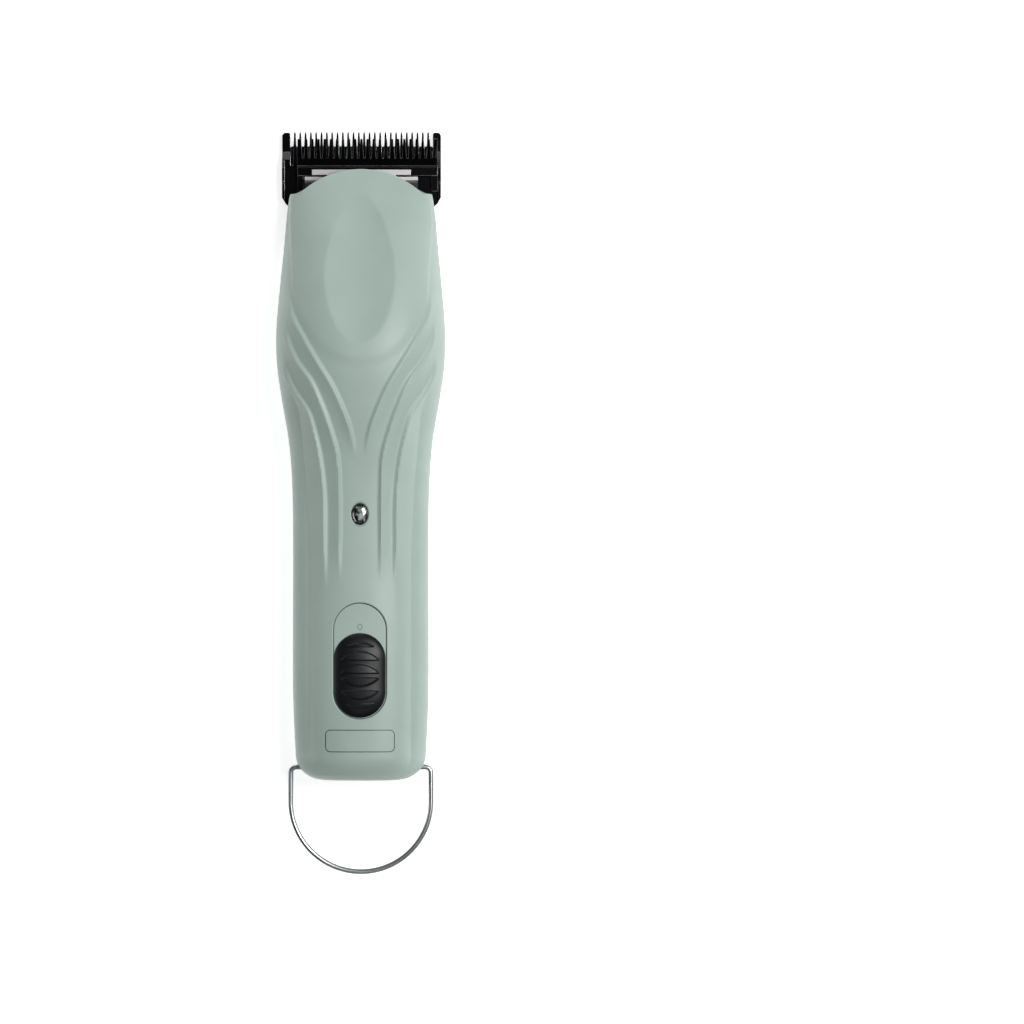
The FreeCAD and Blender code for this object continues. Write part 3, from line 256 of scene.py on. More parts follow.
class Builder:
    """Collects vertices and faces, in millimetres."""

    def __init__(self):
        self.points = []
        self.faces = []

    def add(self, points):
        start = len(self.points)
        self.points.extend(map(tuple, np.asarray(points, float).reshape(-1, 3)))
        return start

    def grid(self, p, flip=False, close_v=False):
        """Faces between neighbouring rows of points, closed round each row if asked."""
        rows, cols = p.shape[:2]
        start = self.add(p)
        for i in range(rows - 1):
            for j in range(cols if close_v else cols - 1):
                a = start + i * cols + j
                b = start + i * cols + (j + 1) % cols
                c, d = b + cols, a + cols
                self.faces.append((a, d, c, b) if flip else (a, b, c, d))

    def clipped(self, p, keep, flip=False):
        """A grid cut along the line where keep is 0, with the part where it is positive left."""
        rows, cols = p.shape[:2]
        start = self.add(p)
        cuts = {}

        def cut(a, b):
            key = (min(a, b), max(a, b))
            if key not in cuts:
                (i, j), (k, l) = divmod(key[0], cols), divmod(key[1], cols)
                fa, fb = keep[i, j], keep[k, l]
                t = fa / (fa - fb)
                cuts[key] = self.add(p[i, j] * (1 - t) + p[k, l] * t)
            return cuts[key]

        for i in range(rows - 1):
            for j in range(cols - 1):
                ring = [i * cols + j, i * cols + j + 1, (i + 1) * cols + j + 1, (i + 1) * cols + j]
                values = [keep[divmod(r, cols)] for r in ring]
                if max(values) <= 0:
                    continue
                if min(values) > 0:
                    face = [start + r for r in ring]
                else:
                    face = []
                    for n in range(4):
                        a, b, fa, fb = ring[n], ring[(n + 1) % 4], values[n], values[(n + 1) % 4]
                        if fa > 0:
                            face.append(start + a)
                        if (fa > 0) != (fb > 0):
                            face.append(cut(a, b))
                    if len(face) < 3:
                        continue
                self.faces.append(tuple(reversed(face)) if flip else tuple(face))

    def fan(self, ring, centre, flip=False):
        """Faces from a closed ring to one point."""
        start = self.add(ring)
        middle = self.add([centre])
        n = len(ring)
        for i in range(n):
            a, b = start + i, start + (i + 1) % n
            self.faces.append((b, a, middle) if flip else (a, b, middle))

    def piece(self, name, look, body, replaces=(), sharp=28.0):
        """Makes the object, rounds its shading up to that angle, and puts it on its body."""
        mesh = bpy.data.meshes.new(name)
        mesh.from_pydata([(x * MM, y * MM, z * MM) for x, y, z in self.points], [], self.faces)
        mesh.validate()
        loose_free(mesh)
        mesh.shade_smooth()
        mesh.set_sharp_from_angle(angle=math.radians(sharp))
        mesh.materials.append(look)
        thing = bpy.data.objects.new(name, mesh)
        bpy.context.scene.collection.objects.link(thing)
        if replaces:
            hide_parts(*replaces)
        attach(thing, body)


def loose_free(mesh):
    """Drops vertices that no face uses and joins ones that fall together."""
    bm = bmesh.new()
    bm.from_mesh(mesh)
    bmesh.ops.remove_doubles(bm, verts=bm.verts, dist=1e-6)
    bmesh.ops.delete(bm, geom=[v for v in bm.verts if not v.link_faces], context="VERTS")
    bmesh.ops.recalc_face_normals(bm, faces=bm.faces)
    bm.to_mesh(mesh)
    bm.free()


def stadium_outline(half, y0, y1, offset, count=72):
    """Points round a slot with round ends, long in Y, that far outside its outline."""
    r = half + offset
    a = np.linspace(0, math.pi, count)
    front = np.stack([r * np.cos(a), y1 - half + r * np.sin(a)], -1)
    back = np.stack([-r * np.cos(a), y0 + half - r * np.sin(a)], -1)
    side = np.linspace(0, 1, 42)[1:-1, None]
    left = front[-1] * (1 - side) + back[0] * side
    right = back[-1] * (1 - side) + front[0] * side
    return np.concatenate([front, left, back, right])


def stadium_distance(x, y, half, y0, y1):
    """Distance outside a slot with round ends, negative in it."""
    yy = np.clip(y, y0 + half, y1 - half)
    return np.hypot(x, y - yy) - half


def oval_outline(a, b, y, offset, count=96, x=0.0):
    """Points round an oval, that far outside its outline."""
    t = np.linspace(0, 2 * math.pi, count, endpoint=False)
    return np.stack([x + (a + offset) * np.cos(t), y + (b + offset) * np.sin(t)], -1)


def round_box_outline(x0, x1, y0, y1, radius, offset):
    """Points round a box with round corners, that far outside its outline."""
    r = radius + offset
    corners = [(x1 - radius, y1 - radius, 0), (x0 + radius, y1 - radius, 90),
               (x0 + radius, y0 + radius, 180), (x1 - radius, y0 + radius, 270)]
    out = []
    for cx, cy, turn in corners:
        a = np.radians(turn + np.linspace(0, 90, 12))
        out.append(np.stack([cx + r * np.cos(a), cy + r * np.sin(a)], -1))
    ring = np.concatenate(out)
    dense = []
    for a, b in zip(ring, np.roll(ring, -1, 0)):
        steps = max(1, int(np.hypot(*(b - a)) / 0.6))
        dense.extend(a + (b - a) * k / steps for k in range(steps))
    return np.array(dense)


def round_box_distance(x, y, x0, x1, y0, y1, radius):
    """Distance outside a box with round corners, negative in it."""
    qx = np.abs(x - (x0 + x1) / 2) - (x1 - x0) / 2 + radius
    qy = np.abs(y - (y0 + y1) / 2) - (y1 - y0) / 2 + radius
    return np.hypot(np.maximum(qx, 0), np.maximum(qy, 0)) + np.minimum(np.maximum(qx, qy), 0) - radius


def lip(builder, outline, height, down, depth):
    """The rounded edge of an opening: from the surface outside it, over, and into the hole."""
    rows = []
    for k in range(7):
        a = k / 6 * math.pi / 2
        plan = outline(EDGE * (1 - math.sin(a)))
        z = height(plan[:, 0], plan[:, 1]) - down * EDGE * (1 - math.cos(a))
        rows.append(np.column_stack([plan, z]))
    plan = outline(0.0)
    z = height(plan[:, 0], plan[:, 1])
    for reach in (depth * 0.5, depth):
        rows.append(np.column_stack([plan, z - down * reach]))
    builder.grid(np.array(rows), close_v=True)


# ------------------------------------------------------------------ materials
def linear(r, g, b):
    """A colour given as 0-255 screen values, for the shader."""
    out = []
    for c in (r, g, b):
        c /= 255
        out.append(c / 12.92 if c <= 0.04045 else ((c + 0.055) / 1.055) ** 2.4)
    return (*out, 1.0)


def material(name, colour, rough, metallic=0.0, grain=0.0, grain_size=0.4, mottle=0.04, rough_spread=0.05,
             stretch=(1, 1, 1), coat=0.0, coat_rough=0.1, specular=0.5, mottle_size=9.0):
    """A surface with slow colour drift, uneven roughness and a fine bump, from procedural noise."""
    m = bpy.data.materials.new(name)
    m.use_nodes = True
    nodes, links = m.node_tree.nodes, m.node_tree.links
    shader = nodes["Principled BSDF"]
    shader.inputs["Metallic"].default_value = metallic
    shader.inputs["Coat Weight"].default_value = coat
    shader.inputs["Coat Roughness"].default_value = coat_rough
    shader.inputs["Specular IOR Level"].default_value = specular
    place = nodes.new("ShaderNodeTexCoord")
    scale = nodes.new("ShaderNodeMapping")
    scale.inputs["Scale"].default_value = stretch
    links.new(place.outputs["Object"], scale.inputs["Vector"])

    slow = nodes.new("ShaderNodeTexNoise")
    slow.inputs["Scale"].default_value = 1000 / mottle_size
    slow.inputs["Detail"].default_value = 3
    links.new(scale.outputs["Vector"], slow.inputs["Vector"])
    ramp = nodes.new("ShaderNodeValToRGB")
    low = [c * (1 - mottle) for c in colour[:3]]
    high = [min(1, c * (1 + mottle)) for c in colour[:3]]
    ramp.color_ramp.elements[0].position = 0.3
    ramp.color_ramp.elements[0].color = (*low, 1)
    ramp.color_ramp.elements[1].position = 0.7
    ramp.color_ramp.elements[1].color = (*high, 1)
    links.new(slow.outputs["Fac"], ramp.inputs["Fac"])
    links.new(ramp.outputs["Color"], shader.inputs["Base Color"])

    fine = nodes.new("ShaderNodeTexNoise")
    fine.inputs["Scale"].default_value = 1000 / grain_size
    fine.inputs["Detail"].default_value = 2
    links.new(scale.outputs["Vector"], fine.inputs["Vector"])
    spread = nodes.new("ShaderNodeMapRange")
    spread.inputs["From Min"].default_value = 0.3
    spread.inputs["From Max"].default_value = 0.7
    spread.inputs["To Min"].default_value = max(0.02, rough - rough_spread)
    spread.inputs["To Max"].default_value = min(1, rough + rough_spread)
    links.new(fine.outputs["Fac"], spread.inputs["Value"])
    links.new(spread.outputs["Result"], shader.inputs["Roughness"])
    if grain:
        bump = nodes.new("ShaderNodeBump")
        bump.inputs["Strength"].default_value = grain
        bump.inputs["Distance"].default_value = grain_size * 0.1 * MM
        links.new(fine.outputs["Fac"], bump.inputs["Height"])
        links.new(bump.outputs["Normal"], shader.inputs["Normal"])
    return m


SAGE = linear(158, 176, 168)
M = {
    "body_plastic": material("body_plastic", SAGE, 0.5, grain=0.25, grain_size=0.3, mottle=0.02, coat=0.05,
                             coat_rough=0.35),
    "slider_rubber": material("slider_rubber", linear(9, 11, 14), 0.42, grain=0.5, grain_size=0.22, mottle=0.2,
                              specular=0.32),
    "black_blade_steel": material("black_blade_steel", linear(36, 37, 39), 0.17, metallic=1.0, grain_size=0.2,
                                  mottle=0.12, rough_spread=0.05),
    # painted highlight: a lighter steel for the blades' bevelled edges, so that they read as bright lines
    "blade_edge_painted_highlight": material("blade_edge_painted_highlight", linear(172, 174, 177), 0.3, metallic=0.7, grain_size=0.2,
                                 mottle=0.1, rough_spread=0.05),
    "ground_steel": material("ground_steel", linear(178, 176, 177), 0.34, metallic=1.0, grain=0.12, grain_size=0.12,
                             stretch=(0.1, 1, 1), mottle=0.05),
    "polished_steel": material("polished_steel", linear(176, 180, 182), 0.3, metallic=1.0, grain_size=0.3,
                               mottle=0.05, rough_spread=0.02),
    "cast_frame": material("cast_frame", linear(170, 172, 174), 0.45, metallic=1.0, grain=0.6, grain_size=0.5,
                           mottle=0.08),
    "black_nylon": material("black_nylon", linear(30, 31, 33), 0.5, grain=0.4, grain_size=0.3, mottle=0.15),
    "grey_nylon": material("grey_nylon", linear(120, 123, 126), 0.5, grain=0.4, grain_size=0.3, mottle=0.06),
    "bronze": material("bronze", linear(186, 150, 96), 0.38, metallic=1.0, grain=0.4, grain_size=0.2, mottle=0.12),
    "copper_winding": material("copper_winding", linear(190, 104, 52), 0.3, metallic=0.9, grain=1.0, grain_size=0.5,
                               stretch=(1, 0.08, 1), mottle=0.15),
    "laminated_iron": material("laminated_iron", linear(96, 97, 100), 0.45, metallic=0.9, grain=1.0, grain_size=0.5,
                               stretch=(0.05, 1, 0.05), mottle=0.15),
    "magnet": material("magnet", linear(70, 71, 74), 0.4, metallic=0.8, grain=0.4, grain_size=0.3, mottle=0.1),
    "motor_shell": material("motor_shell", linear(176, 177, 175), 0.33, metallic=1.0, grain=0.3, grain_size=0.3,
                            stretch=(1, 0.1, 1), mottle=0.08),
    "circuit_board": material("circuit_board", linear(28, 92, 56), 0.35, grain=0.3, grain_size=0.5, mottle=0.25,
                              mottle_size=2.0, coat=0.3),
    "chip_black": material("chip_black", linear(26, 26, 28), 0.55, grain=0.4, grain_size=0.2, mottle=0.15),
    "cell_sleeve": material("cell_sleeve", linear(62, 118, 140), 0.32, grain=0.2, grain_size=0.5, mottle=0.06,
                            coat=0.4),
    "cell_can": material("cell_can", linear(186, 186, 182), 0.3, metallic=1.0, grain=0.2, grain_size=0.3,
                         mottle=0.06),
    "gold_contact": material("gold_contact", linear(222, 190, 110), 0.25, metallic=1.0, grain=0.2, grain_size=0.2,
                             mottle=0.08),
    # painted glints: the lens's strong mottle is turned below into light patches that stand in for reflections
    "smoked_lens": material("smoked_lens", linear(62, 72, 70), 0.08, mottle=0.97, mottle_size=2.2,
                            coat=1.0, coat_rough=0.03, specular=0.9),
    "chrome_trim": material("chrome_trim", linear(205, 208, 210), 0.1, metallic=1.0, mottle=0.04),
    "lamp": material("lamp", linear(225, 232, 238), 0.15, grain=0.1, mottle=0.03, coat=0.5),
    "wire_red": material("wire_red", linear(168, 34, 28), 0.4, grain=0.2, grain_size=0.3, mottle=0.08),
    "printed_mark": material("printed_mark", linear(52, 62, 58), 0.45, grain=0.2, grain_size=0.2, mottle=0.15),
    "soft_mark": material("soft_mark", linear(104, 120, 111), 0.45, grain=0.2, grain_size=0.2, mottle=0.1),
}


def two_tone(source, name, colour, split):
    """A copy of a material that turns to another colour behind y = split."""
    m = source.copy()
    m.name = name
    nodes, links = m.node_tree.nodes, m.node_tree.links
    shader = nodes["Principled BSDF"]
    before = shader.inputs["Base Color"].links[0].from_socket
    place = nodes.new("ShaderNodeTexCoord")
    axes = nodes.new("ShaderNodeSeparateXYZ")
    links.new(place.outputs["Object"], axes.inputs["Vector"])
    share = nodes.new("ShaderNodeMapRange")
    share.inputs["From Min"].default_value = (split - 0.1) * MM
    share.inputs["From Max"].default_value = (split + 0.1) * MM
    links.new(axes.outputs["Y"], share.inputs["Value"])
    mix = nodes.new("ShaderNodeMix")
    mix.data_type = "RGBA"
    links.new(share.outputs["Result"], mix.inputs["Factor"])
    mix.inputs["A"].default_value = colour
    links.new(before, mix.inputs["B"])
    links.new(mix.outputs["Result"], shader.inputs["Base Color"])
    return m


M["socket_steel"] = two_tone(M["ground_steel"], "socket_steel", linear(52, 53, 55), 94.45)
# painted glints: the lens is dark, and light patches painted into its colour stand in for reflections in it
painted_glints = M["smoked_lens"].node_tree.nodes["Color Ramp"].color_ramp.elements
painted_glints[0].position, painted_glints[1].position = 0.50, 0.60
painted_glints[0].color, painted_glints[1].color = linear(6, 14, 12), linear(168, 178, 174)

# every piece of the CAD has the material of its slot, but for the socket
slots = {s["node"]: s["material_slot"] for s in frame["record"]["subparts"]}
for node, thing in frame["nodes"].items():
    thing.data.materials.clear()
    thing.data.materials.append(M["socket_steel" if node == "blade_socket" else slots[node]])


# ------------------------------------------------------------------ covers
OPENING_DEPTH = 2.4  # how far the edges of openings reach in
TRACK_HALF, TRACK_Y0, TRACK_Y1 = 7.8, -63.4, -29.4
INDICATOR_Y, INDICATOR_A, INDICATOR_B = -3.4, 2.5, 3.2
HOUSING_SCREWS = [(16.0, 50.5), (-16.0, 50.5), (11.5, -70.5), (-11.5, -70.5)]
SCREW_RADIUS, SCREW_DEPTH, SCREW_SEAT_Z = 2.6, 3.2, 5.2
LATCH, LATCH_CORNER = (-7.2, 7.2, 57.5, 70.5), 0.8  # x0, x1, y0, y1
INLET_Z, INLET_HALF, INLET_RADIUS = 11.0, 1.9, 1.7
CONTACT_X, CONTACT_HALF_WIDTH, CONTACT_HALF_HEIGHT, CONTACT_CORNER = 7.4, 1.5, 2.3, 0.3
CONTACTS = [(x - CONTACT_HALF_WIDTH, x + CONTACT_HALF_WIDTH, INLET_Z - CONTACT_HALF_HEIGHT,
             INLET_Z + CONTACT_HALF_HEIGHT, CONTACT_CORNER) for x in (CONTACT_X, -CONTACT_X)]
BACK_FACE_Z = 9.0  # openings are cut only below this


def nose_limit(x):
    """How far forward the hood reaches at that distance from the middle."""
    drop = ARCH_RADIUS - math.sqrt(ARCH_RADIUS**2 - SHOULDER_X**2)
    ax = np.abs(x)
    arch = NOSE_Y - ARCH_RADIUS + np.sqrt(np.maximum(ARCH_RADIUS**2 - np.minimum(ax, SHOULDER_X) ** 2, 0))
    beyond = np.clip((ax - SHOULDER_X) / 12.0, 0, 1)
    flat = (NOSE_Y - drop) * (1 - beyond) + SHOULDER_Y * beyond
    return np.where(ax < SHOULDER_X, arch, flat)


def hood_reach(angle, inset=0.0):
    """The station at which each section angle meets the nose's outline, found by repeated steps."""
    reach = np.full(len(angle), 94.0)
    for _ in range(30):
        reach = nose_limit(skin(reach, angle, inset)[:, 0])
    return reach


def rear_rows():
    """Stations round the rear end, at even steps of its rounding."""
    a = np.linspace(math.pi / 2, 0, 18)
    return REAR_Y + REAR_ROUND * (1 - np.sin(a))


def face_openings(x, y, margin):
    """Positive outside the slider's track and the indicator, by more than the margin."""
    track = stadium_distance(x, y, TRACK_HALF, TRACK_Y0, TRACK_Y1)
    indicator = (np.hypot(x / INDICATOR_A, (y - INDICATOR_Y) / INDICATOR_B) - 1) * INDICATOR_A
    return np.minimum(track, indicator) - margin


def back_openings(x, y, margin):
    """Positive outside the latch's opening and the screw recesses, by more than the margin."""
    keep = round_box_distance(x, y, *LATCH, LATCH_CORNER) - margin
    for sx, sy in HOUSING_SCREWS:
        keep = np.minimum(keep, np.hypot(x - sx, y - sy) - SCREW_RADIUS - margin)
    return keep


def side_rim(builder, last_y, angle, flip):
    """The parting edge along one side, from the rear end to last_y."""
    ys = np.concatenate([rear_rows(), np.arange(-74, last_y, 2.0), [last_y]])
    out = skin(ys, np.full(len(ys), angle))
    inside = skin(np.maximum(ys, REAR_Y + WALL), np.full(len(ys), angle), WALL)
    out[:, 0] -= np.sign(out[:, 0]) * EDGE
    builder.grid(np.stack([out, inside]), flip=flip)


def build_front_cover():
    b = Builder()
    angle, edge = even_angles(0, math.pi, FACE_POWER, 21.5, 17.0, 0.40, True)
    y = np.concatenate([rear_rows(), np.arange(-74.0, -27, 0.8), np.arange(-27.0, HOOD_Y, 0.42)])
    turn = np.broadcast_to(angle, (len(y), len(angle)))
    lower = skin(np.broadcast_to(y[:, None], turn.shape), turn)
    reach = hood_reach(angle)
    fine = EDGE * EDGE_STEPS
    start = y[-1]
    shares = np.linspace(0, 1, 34)[1:-1]
    hood_y = [start + k * (reach - EDGE * 1.3 - start) for k in shares] + [reach - f for f in fine]
    hood = np.array([skin(row, angle) for row in hood_y])
    surface = np.concatenate([lower, hood])
    to_front = np.full(surface.shape[:2], 9.0)  # distance to the nose's edge, far for all but the last rows
    to_front[-len(fine):] = fine[:, None]
    n = grid_normals(surface)
    if n[len(y) // 2, len(angle) // 2, 2] < 0:
        n = -n
    x, yy = surface[..., 0], surface[..., 1]
    rise = relief(x, yy) * smooth(0, 6, np.broadcast_to(edge, x.shape))
    outer = surface + n * (rise - rounding(np.broadcast_to(edge, x.shape)) - rounding(to_front))[..., None]
    b.clipped(outer, face_openings(x, yy, EDGE))

    # inside, with the thumb dish bulging in
    angle_in, _ = even_angles(0, math.pi, FACE_POWER, 19.0, 15.0, 1.2, False)
    y_in = np.concatenate([[REAR_Y + WALL], np.arange(-78.0, HOOD_Y, 2.0)])
    turn = np.broadcast_to(angle_in, (len(y_in), len(angle_in)))
    lower = skin(np.broadcast_to(y_in[:, None], turn.shape), turn, WALL)
    reach_in = hood_reach(angle_in, WALL)
    hood = np.array([skin(HOOD_Y + k * (reach_in - HOOD_Y), angle_in, WALL) for k in np.linspace(0, 1, 12)])
    inner = np.concatenate([lower, hood])
    x, yy = inner[..., 0], inner[..., 1]
    e = np.hypot(x / (DISH_HALF_WIDTH + 2), (yy - DISH_Y) / (DISH_HALF_LENGTH + 2))
    inner[..., 2] -= 2.0 * smooth(1.05, 0.8, e)
    b.clipped(inner, face_openings(x, yy, 0.0), flip=True)

    # rims: along both parting edges, round the nose, and the rear end
    for a in (0.0, math.pi):
        side_rim(b, HOOD_Y, a, a == 0)
        out = skin(np.linspace(HOOD_Y, reach[0], 12), np.full(12, a))
        out[:, 0] -= np.sign(out[:, 0]) * EDGE
        inside = skin(np.linspace(HOOD_Y, reach_in[0], 12), np.full(12, a), WALL)
        b.grid(np.stack([out, inside]), flip=a == 0)
    columns = np.arange(len(angle_in))
    order = np.interp(np.linspace(0, 1, len(angle)), np.linspace(0, 1, len(angle_in)), columns)
    ring_in = np.stack([np.interp(order, columns, inner[-1][:, k]) for k in range(3)], -1)
    b.grid(np.stack([outer[-1], ring_in]))
    for rear, step in ((outer[0], 1), (inner[0], -1)):
        flat = rear.copy()
        flat[:, 2] = station(REAR_Y, 4)
        b.grid(np.stack([rear, flat][::step]))

    lip(b, lambda o: stadium_outline(TRACK_HALF, TRACK_Y0, TRACK_Y1, o), face_surface, 1, OPENING_DEPTH)
    lip(b, lambda o: oval_outline(INDICATOR_A, INDICATOR_B, INDICATOR_Y, o), face_surface, 1, OPENING_DEPTH)
    b.piece("cover_front_shell", M["body_plastic"], "housing", ["front_cover"], sharp=50)


def build_rear_cover():
    b = Builder()
    angle, edge = even_angles(math.pi, 2 * math.pi, BACK_POWER, 21.5, 15.5, 0.55, True)
    fine = EDGE * EDGE_STEPS
    y = np.concatenate([rear_rows(), np.arange(-74.0, BAY_Y - 1, 0.7), BAY_Y - fine])
    shape = (len(y), len(angle))
    surface = skin(np.broadcast_to(y[:, None], shape), np.broadcast_to(angle, shape))
    n = grid_normals(surface)
    if n[len(y) // 2, len(angle) // 2, 2] > 0:
        n = -n
    drop = rounding(np.broadcast_to(edge, shape)) + rounding(BAY_Y - np.broadcast_to(y[:, None], shape))
    outer = surface - n * drop[..., None]
    outer[..., 2] = soft_floor(outer[..., 2])
    keep = back_openings(outer[..., 0], outer[..., 1], EDGE)
    b.clipped(outer, np.where(outer[..., 2] < BACK_FACE_Z, keep, 1.0))

    # inside
    angle_in, _ = even_angles(math.pi, 2 * math.pi, BACK_POWER, 19.0, 13.0, 1.4, False)
    y_in = np.concatenate([[REAR_Y + WALL], np.arange(-78.0, BAY_Y, 2.0), [BAY_Y]])
    shape = (len(y_in), len(angle_in))
    inner = skin(np.broadcast_to(y_in[:, None], shape), np.broadcast_to(angle_in, shape), WALL)
    keep = back_openings(inner[..., 0], inner[..., 1], 0.0)
    b.clipped(inner, np.where(inner[..., 2] < BACK_FACE_Z, keep, 1.0), flip=True)

    # rims: along both parting edges and at the head's bay
    side_rim(b, BAY_Y, math.pi, False)
    side_rim(b, BAY_Y, 2 * math.pi, True)
    around = math.pi + np.linspace(0, 1, len(angle)) * math.pi
    ring_in = skin(np.full(len(angle), BAY_Y), around, WALL)
    ring_out = skin(np.full(len(angle), BAY_Y), around)
    ring_out[:, 2] = np.maximum(ring_out[:, 2], 0) + EDGE * 0.7
    b.grid(np.stack([ring_out, ring_in]))

    # the rear end face, with the charging inlet and two contact windows in it
    top = station(REAR_Y, 4)
    rear = outer[0]
    rows = np.linspace(0, 1, 40)[:, None]
    cap = np.zeros((40, len(angle), 3))
    cap[..., 0] = rear[:, 0]
    cap[..., 1] = REAR_Y
    cap[..., 2] = rear[:, 2] * (1 - rows) + top * rows
    cx, cz = cap[..., 0], cap[..., 2]
    keep = np.hypot(np.maximum(np.abs(cx) - INLET_HALF, 0), cz - INLET_Z) - INLET_RADIUS
    for window in CONTACTS:
        keep = np.minimum(keep, round_box_distance(cx, cz, *window))
    b.clipped(cap, keep, flip=True)
    turn = np.linspace(0, 2 * math.pi, 64, endpoint=False)
    inlet = oval_outline(INLET_RADIUS, INLET_RADIUS, INLET_Z, 0.0, 64)
    inlet[:, 0] += np.where(np.cos(turn) > 0, INLET_HALF, -INLET_HALF)
    for ring in [inlet] + [round_box_outline(*window, 0) for window in CONTACTS]:
        mouth = np.stack([ring[:, 0], np.full(len(ring), REAR_Y), ring[:, 1]], -1)
        b.grid(np.stack([mouth, mouth + [0, WALL, 0]]), close_v=True)

    for sx, sy in HOUSING_SCREWS:
        def recess(offset, sx=sx, sy=sy):
            return oval_outline(SCREW_RADIUS, SCREW_RADIUS, sy, offset, 64, sx)

        lip(b, recess, back_height, -1, SCREW_DEPTH)
        seat = recess(0.0)
        b.fan(np.column_stack([seat, np.full(len(seat), SCREW_SEAT_Z)]), (sx, sy, SCREW_SEAT_Z))
    lip(b, lambda o: round_box_outline(*LATCH, LATCH_CORNER, o), back_height, -1, OPENING_DEPTH)
    b.piece("cover_rear_shell", M["body_plastic"], "housing", ["rear_cover"], sharp=50)


build_front_cover()
build_rear_cover()


# ------------------------------------------------------------------ switch
PLATE_Z, PLATE_CROWN, PLATE_GAP, PLATE_ROUND = 30.4, 0.35, 0.12, 0.2
SLIDER_HALF, SLIDER_Y0, SLIDER_Y1 = 7.5, -63.0, -38.2
SLIDER_MIDDLE = (SLIDER_Y0 + SLIDER_Y1) / 2
SLIDER_Z, SLIDER_RISE = 31.0, 2.0
RIBS = ((0.65, 5.9, 2.75), (4.48, 5.9, 2.75), (8.3, 4.6, 1.5))  # distance from the middle, half width, sag
RIB_HEIGHT = 0.42
MARK_Y = -36.4


def plate_height(x):
    return PLATE_Z + PLATE_CROWN * (1 - (x / TRACK_HALF) ** 2)


def rings(outline, offsets, height, drops):
    """Rings of an outline at those offsets inside it, each at its height less its drop."""
    rows = []
    for offset, drop in zip(offsets, drops):
        plan = outline(-offset)
        rows.append(np.column_stack([plan, height(plan[:, 0], plan[:, 1], offset) - drop]))
    return np.array(rows)


def rib_height(x, y):
    """Crescent finger ribs: a straight step towards the middle and an arc away from it."""
    total = np.zeros_like(x)
    for side in (-1, 1):
        for start, half, sag in RIBS:
            radius = (half**2 + sag**2) / (2 * sag)
            beyond = side * (y - SLIDER_MIDDLE) - start
            inside = radius - np.hypot(x, beyond - (sag - radius))
            fall = 1 - 0.35 * np.clip(beyond / sag, 0, 1)
            total = total + RIB_HEIGHT * smooth(0, 0.16, beyond) * smooth(0, 0.5, inside) * fall
    return total


def build_slider():
    def outline(offset):
        return stadium_outline(SLIDER_HALF, SLIDER_Y0, SLIDER_Y1, offset, 110)

    def dome(x, y, offset):
        inward = offset / SLIDER_HALF
        return SLIDER_Z + SLIDER_RISE * (1 - (1 - inward) ** 2.1) ** 0.62 + rib_height(x, y)

    b = Builder()
    foot = ((0.35, 30.45), (0.1, 30.5), (0.0, 30.7), (0.0, SLIDER_Z))
    wall = [np.column_stack([outline(-o), np.full(len(outline(0)), z)]) for o, z in foot]
    offsets = np.concatenate([[0.0, 0.02, 0.06, 0.12, 0.2], np.linspace(0.3, SLIDER_HALF - 0.001, 52)])
    top = rings(outline, offsets, dome, np.zeros(len(offsets)))
    b.grid(np.concatenate([np.array(wall), top]), close_v=True)
    b.piece("switch_slider_cap", M["slider_rubber"], "switch", ["switch_slider"], sharp=60)


def build_track_plate():
    def edge(offset):
        return stadium_outline(TRACK_HALF - PLATE_GAP, TRACK_Y0 + PLATE_GAP, TRACK_Y1 - PLATE_GAP, offset)

    b = Builder()
    skirt = [np.column_stack([edge(0.0), np.full(len(edge(0)), z)]) for z in (27.2, 29.6)]
    a = np.linspace(0, math.pi / 2, 6)
    offsets = np.concatenate([PLATE_ROUND * (1 - np.cos(a)), np.linspace(0.5, TRACK_HALF - 0.13, 12)])
    drops = np.concatenate([PLATE_ROUND * (1 - np.sin(a)), np.zeros(12)])
    top = rings(edge, offsets, lambda x, y, o: plate_height(x), drops)
    b.grid(np.concatenate([np.array(skirt), top]), close_v=True)
    b.piece("switch_track_plate", M["body_plastic"], "housing", ["switch_track"], sharp=60)


def build_off_mark():
    """A plain ring on the plate marks the off end."""
    b = Builder()
    turn = np.linspace(0, 2 * math.pi, 48, endpoint=False)
    rows = []
    for half_x, half_y, lift in ((0.52, 0.66, 0.0), (0.56, 0.70, 0.03), (0.72, 0.86, 0.03), (0.76, 0.90, 0.0)):
        x, y = half_x * np.cos(turn), MARK_Y + half_y * np.sin(turn)
        rows.append(np.column_stack([x, y, plate_height(x) + lift]))
    b.grid(np.array(rows), close_v=True)
    b.piece("switch_off_mark", M["soft_mark"], "housing")


# ------------------------------------------------------------------ name plate
BADGE, BADGE_CORNER = (-10.2, 10.2, -73.1, -66.5), 1.5
PRINT_WIDTH, PRINT_FOOT, PRINT_TOP = 0.24, 0.005, 0.03


def build_badge():
    """A blank name plate: a thin printed outline without lettering."""
    outer = round_box_outline(*BADGE, BADGE_CORNER, 0.0)
    inner = round_box_outline(*BADGE, BADGE_CORNER, -PRINT_WIDTH)
    near_inner = inner * 0.98 + outer * 0.02
    rows = []
    for plan, up in ((inner, PRINT_FOOT), (near_inner, PRINT_TOP), (outer, PRINT_TOP), (outer, PRINT_FOOT)):
        z = face_surface(plan[:, 0], plan[:, 1])
        rows.append(np.column_stack([plan, z + up]))
    b = Builder()
    b.grid(np.array(rows), close_v=True)
    b.piece("name_plate_outline", M["printed_mark"], "housing")


# ------------------------------------------------------------------ indicator
RING_WIDTH = 0.42
# offset from the opening and height above the face, over the ring from outside to inside
RING_SECTION = ((-0.08, -1.2), (-0.06, -0.1), (-0.1, 0.08), (-0.22, 0.14), (-0.34, 0.08), (-0.42, -0.1),
                (-0.44, -0.6))


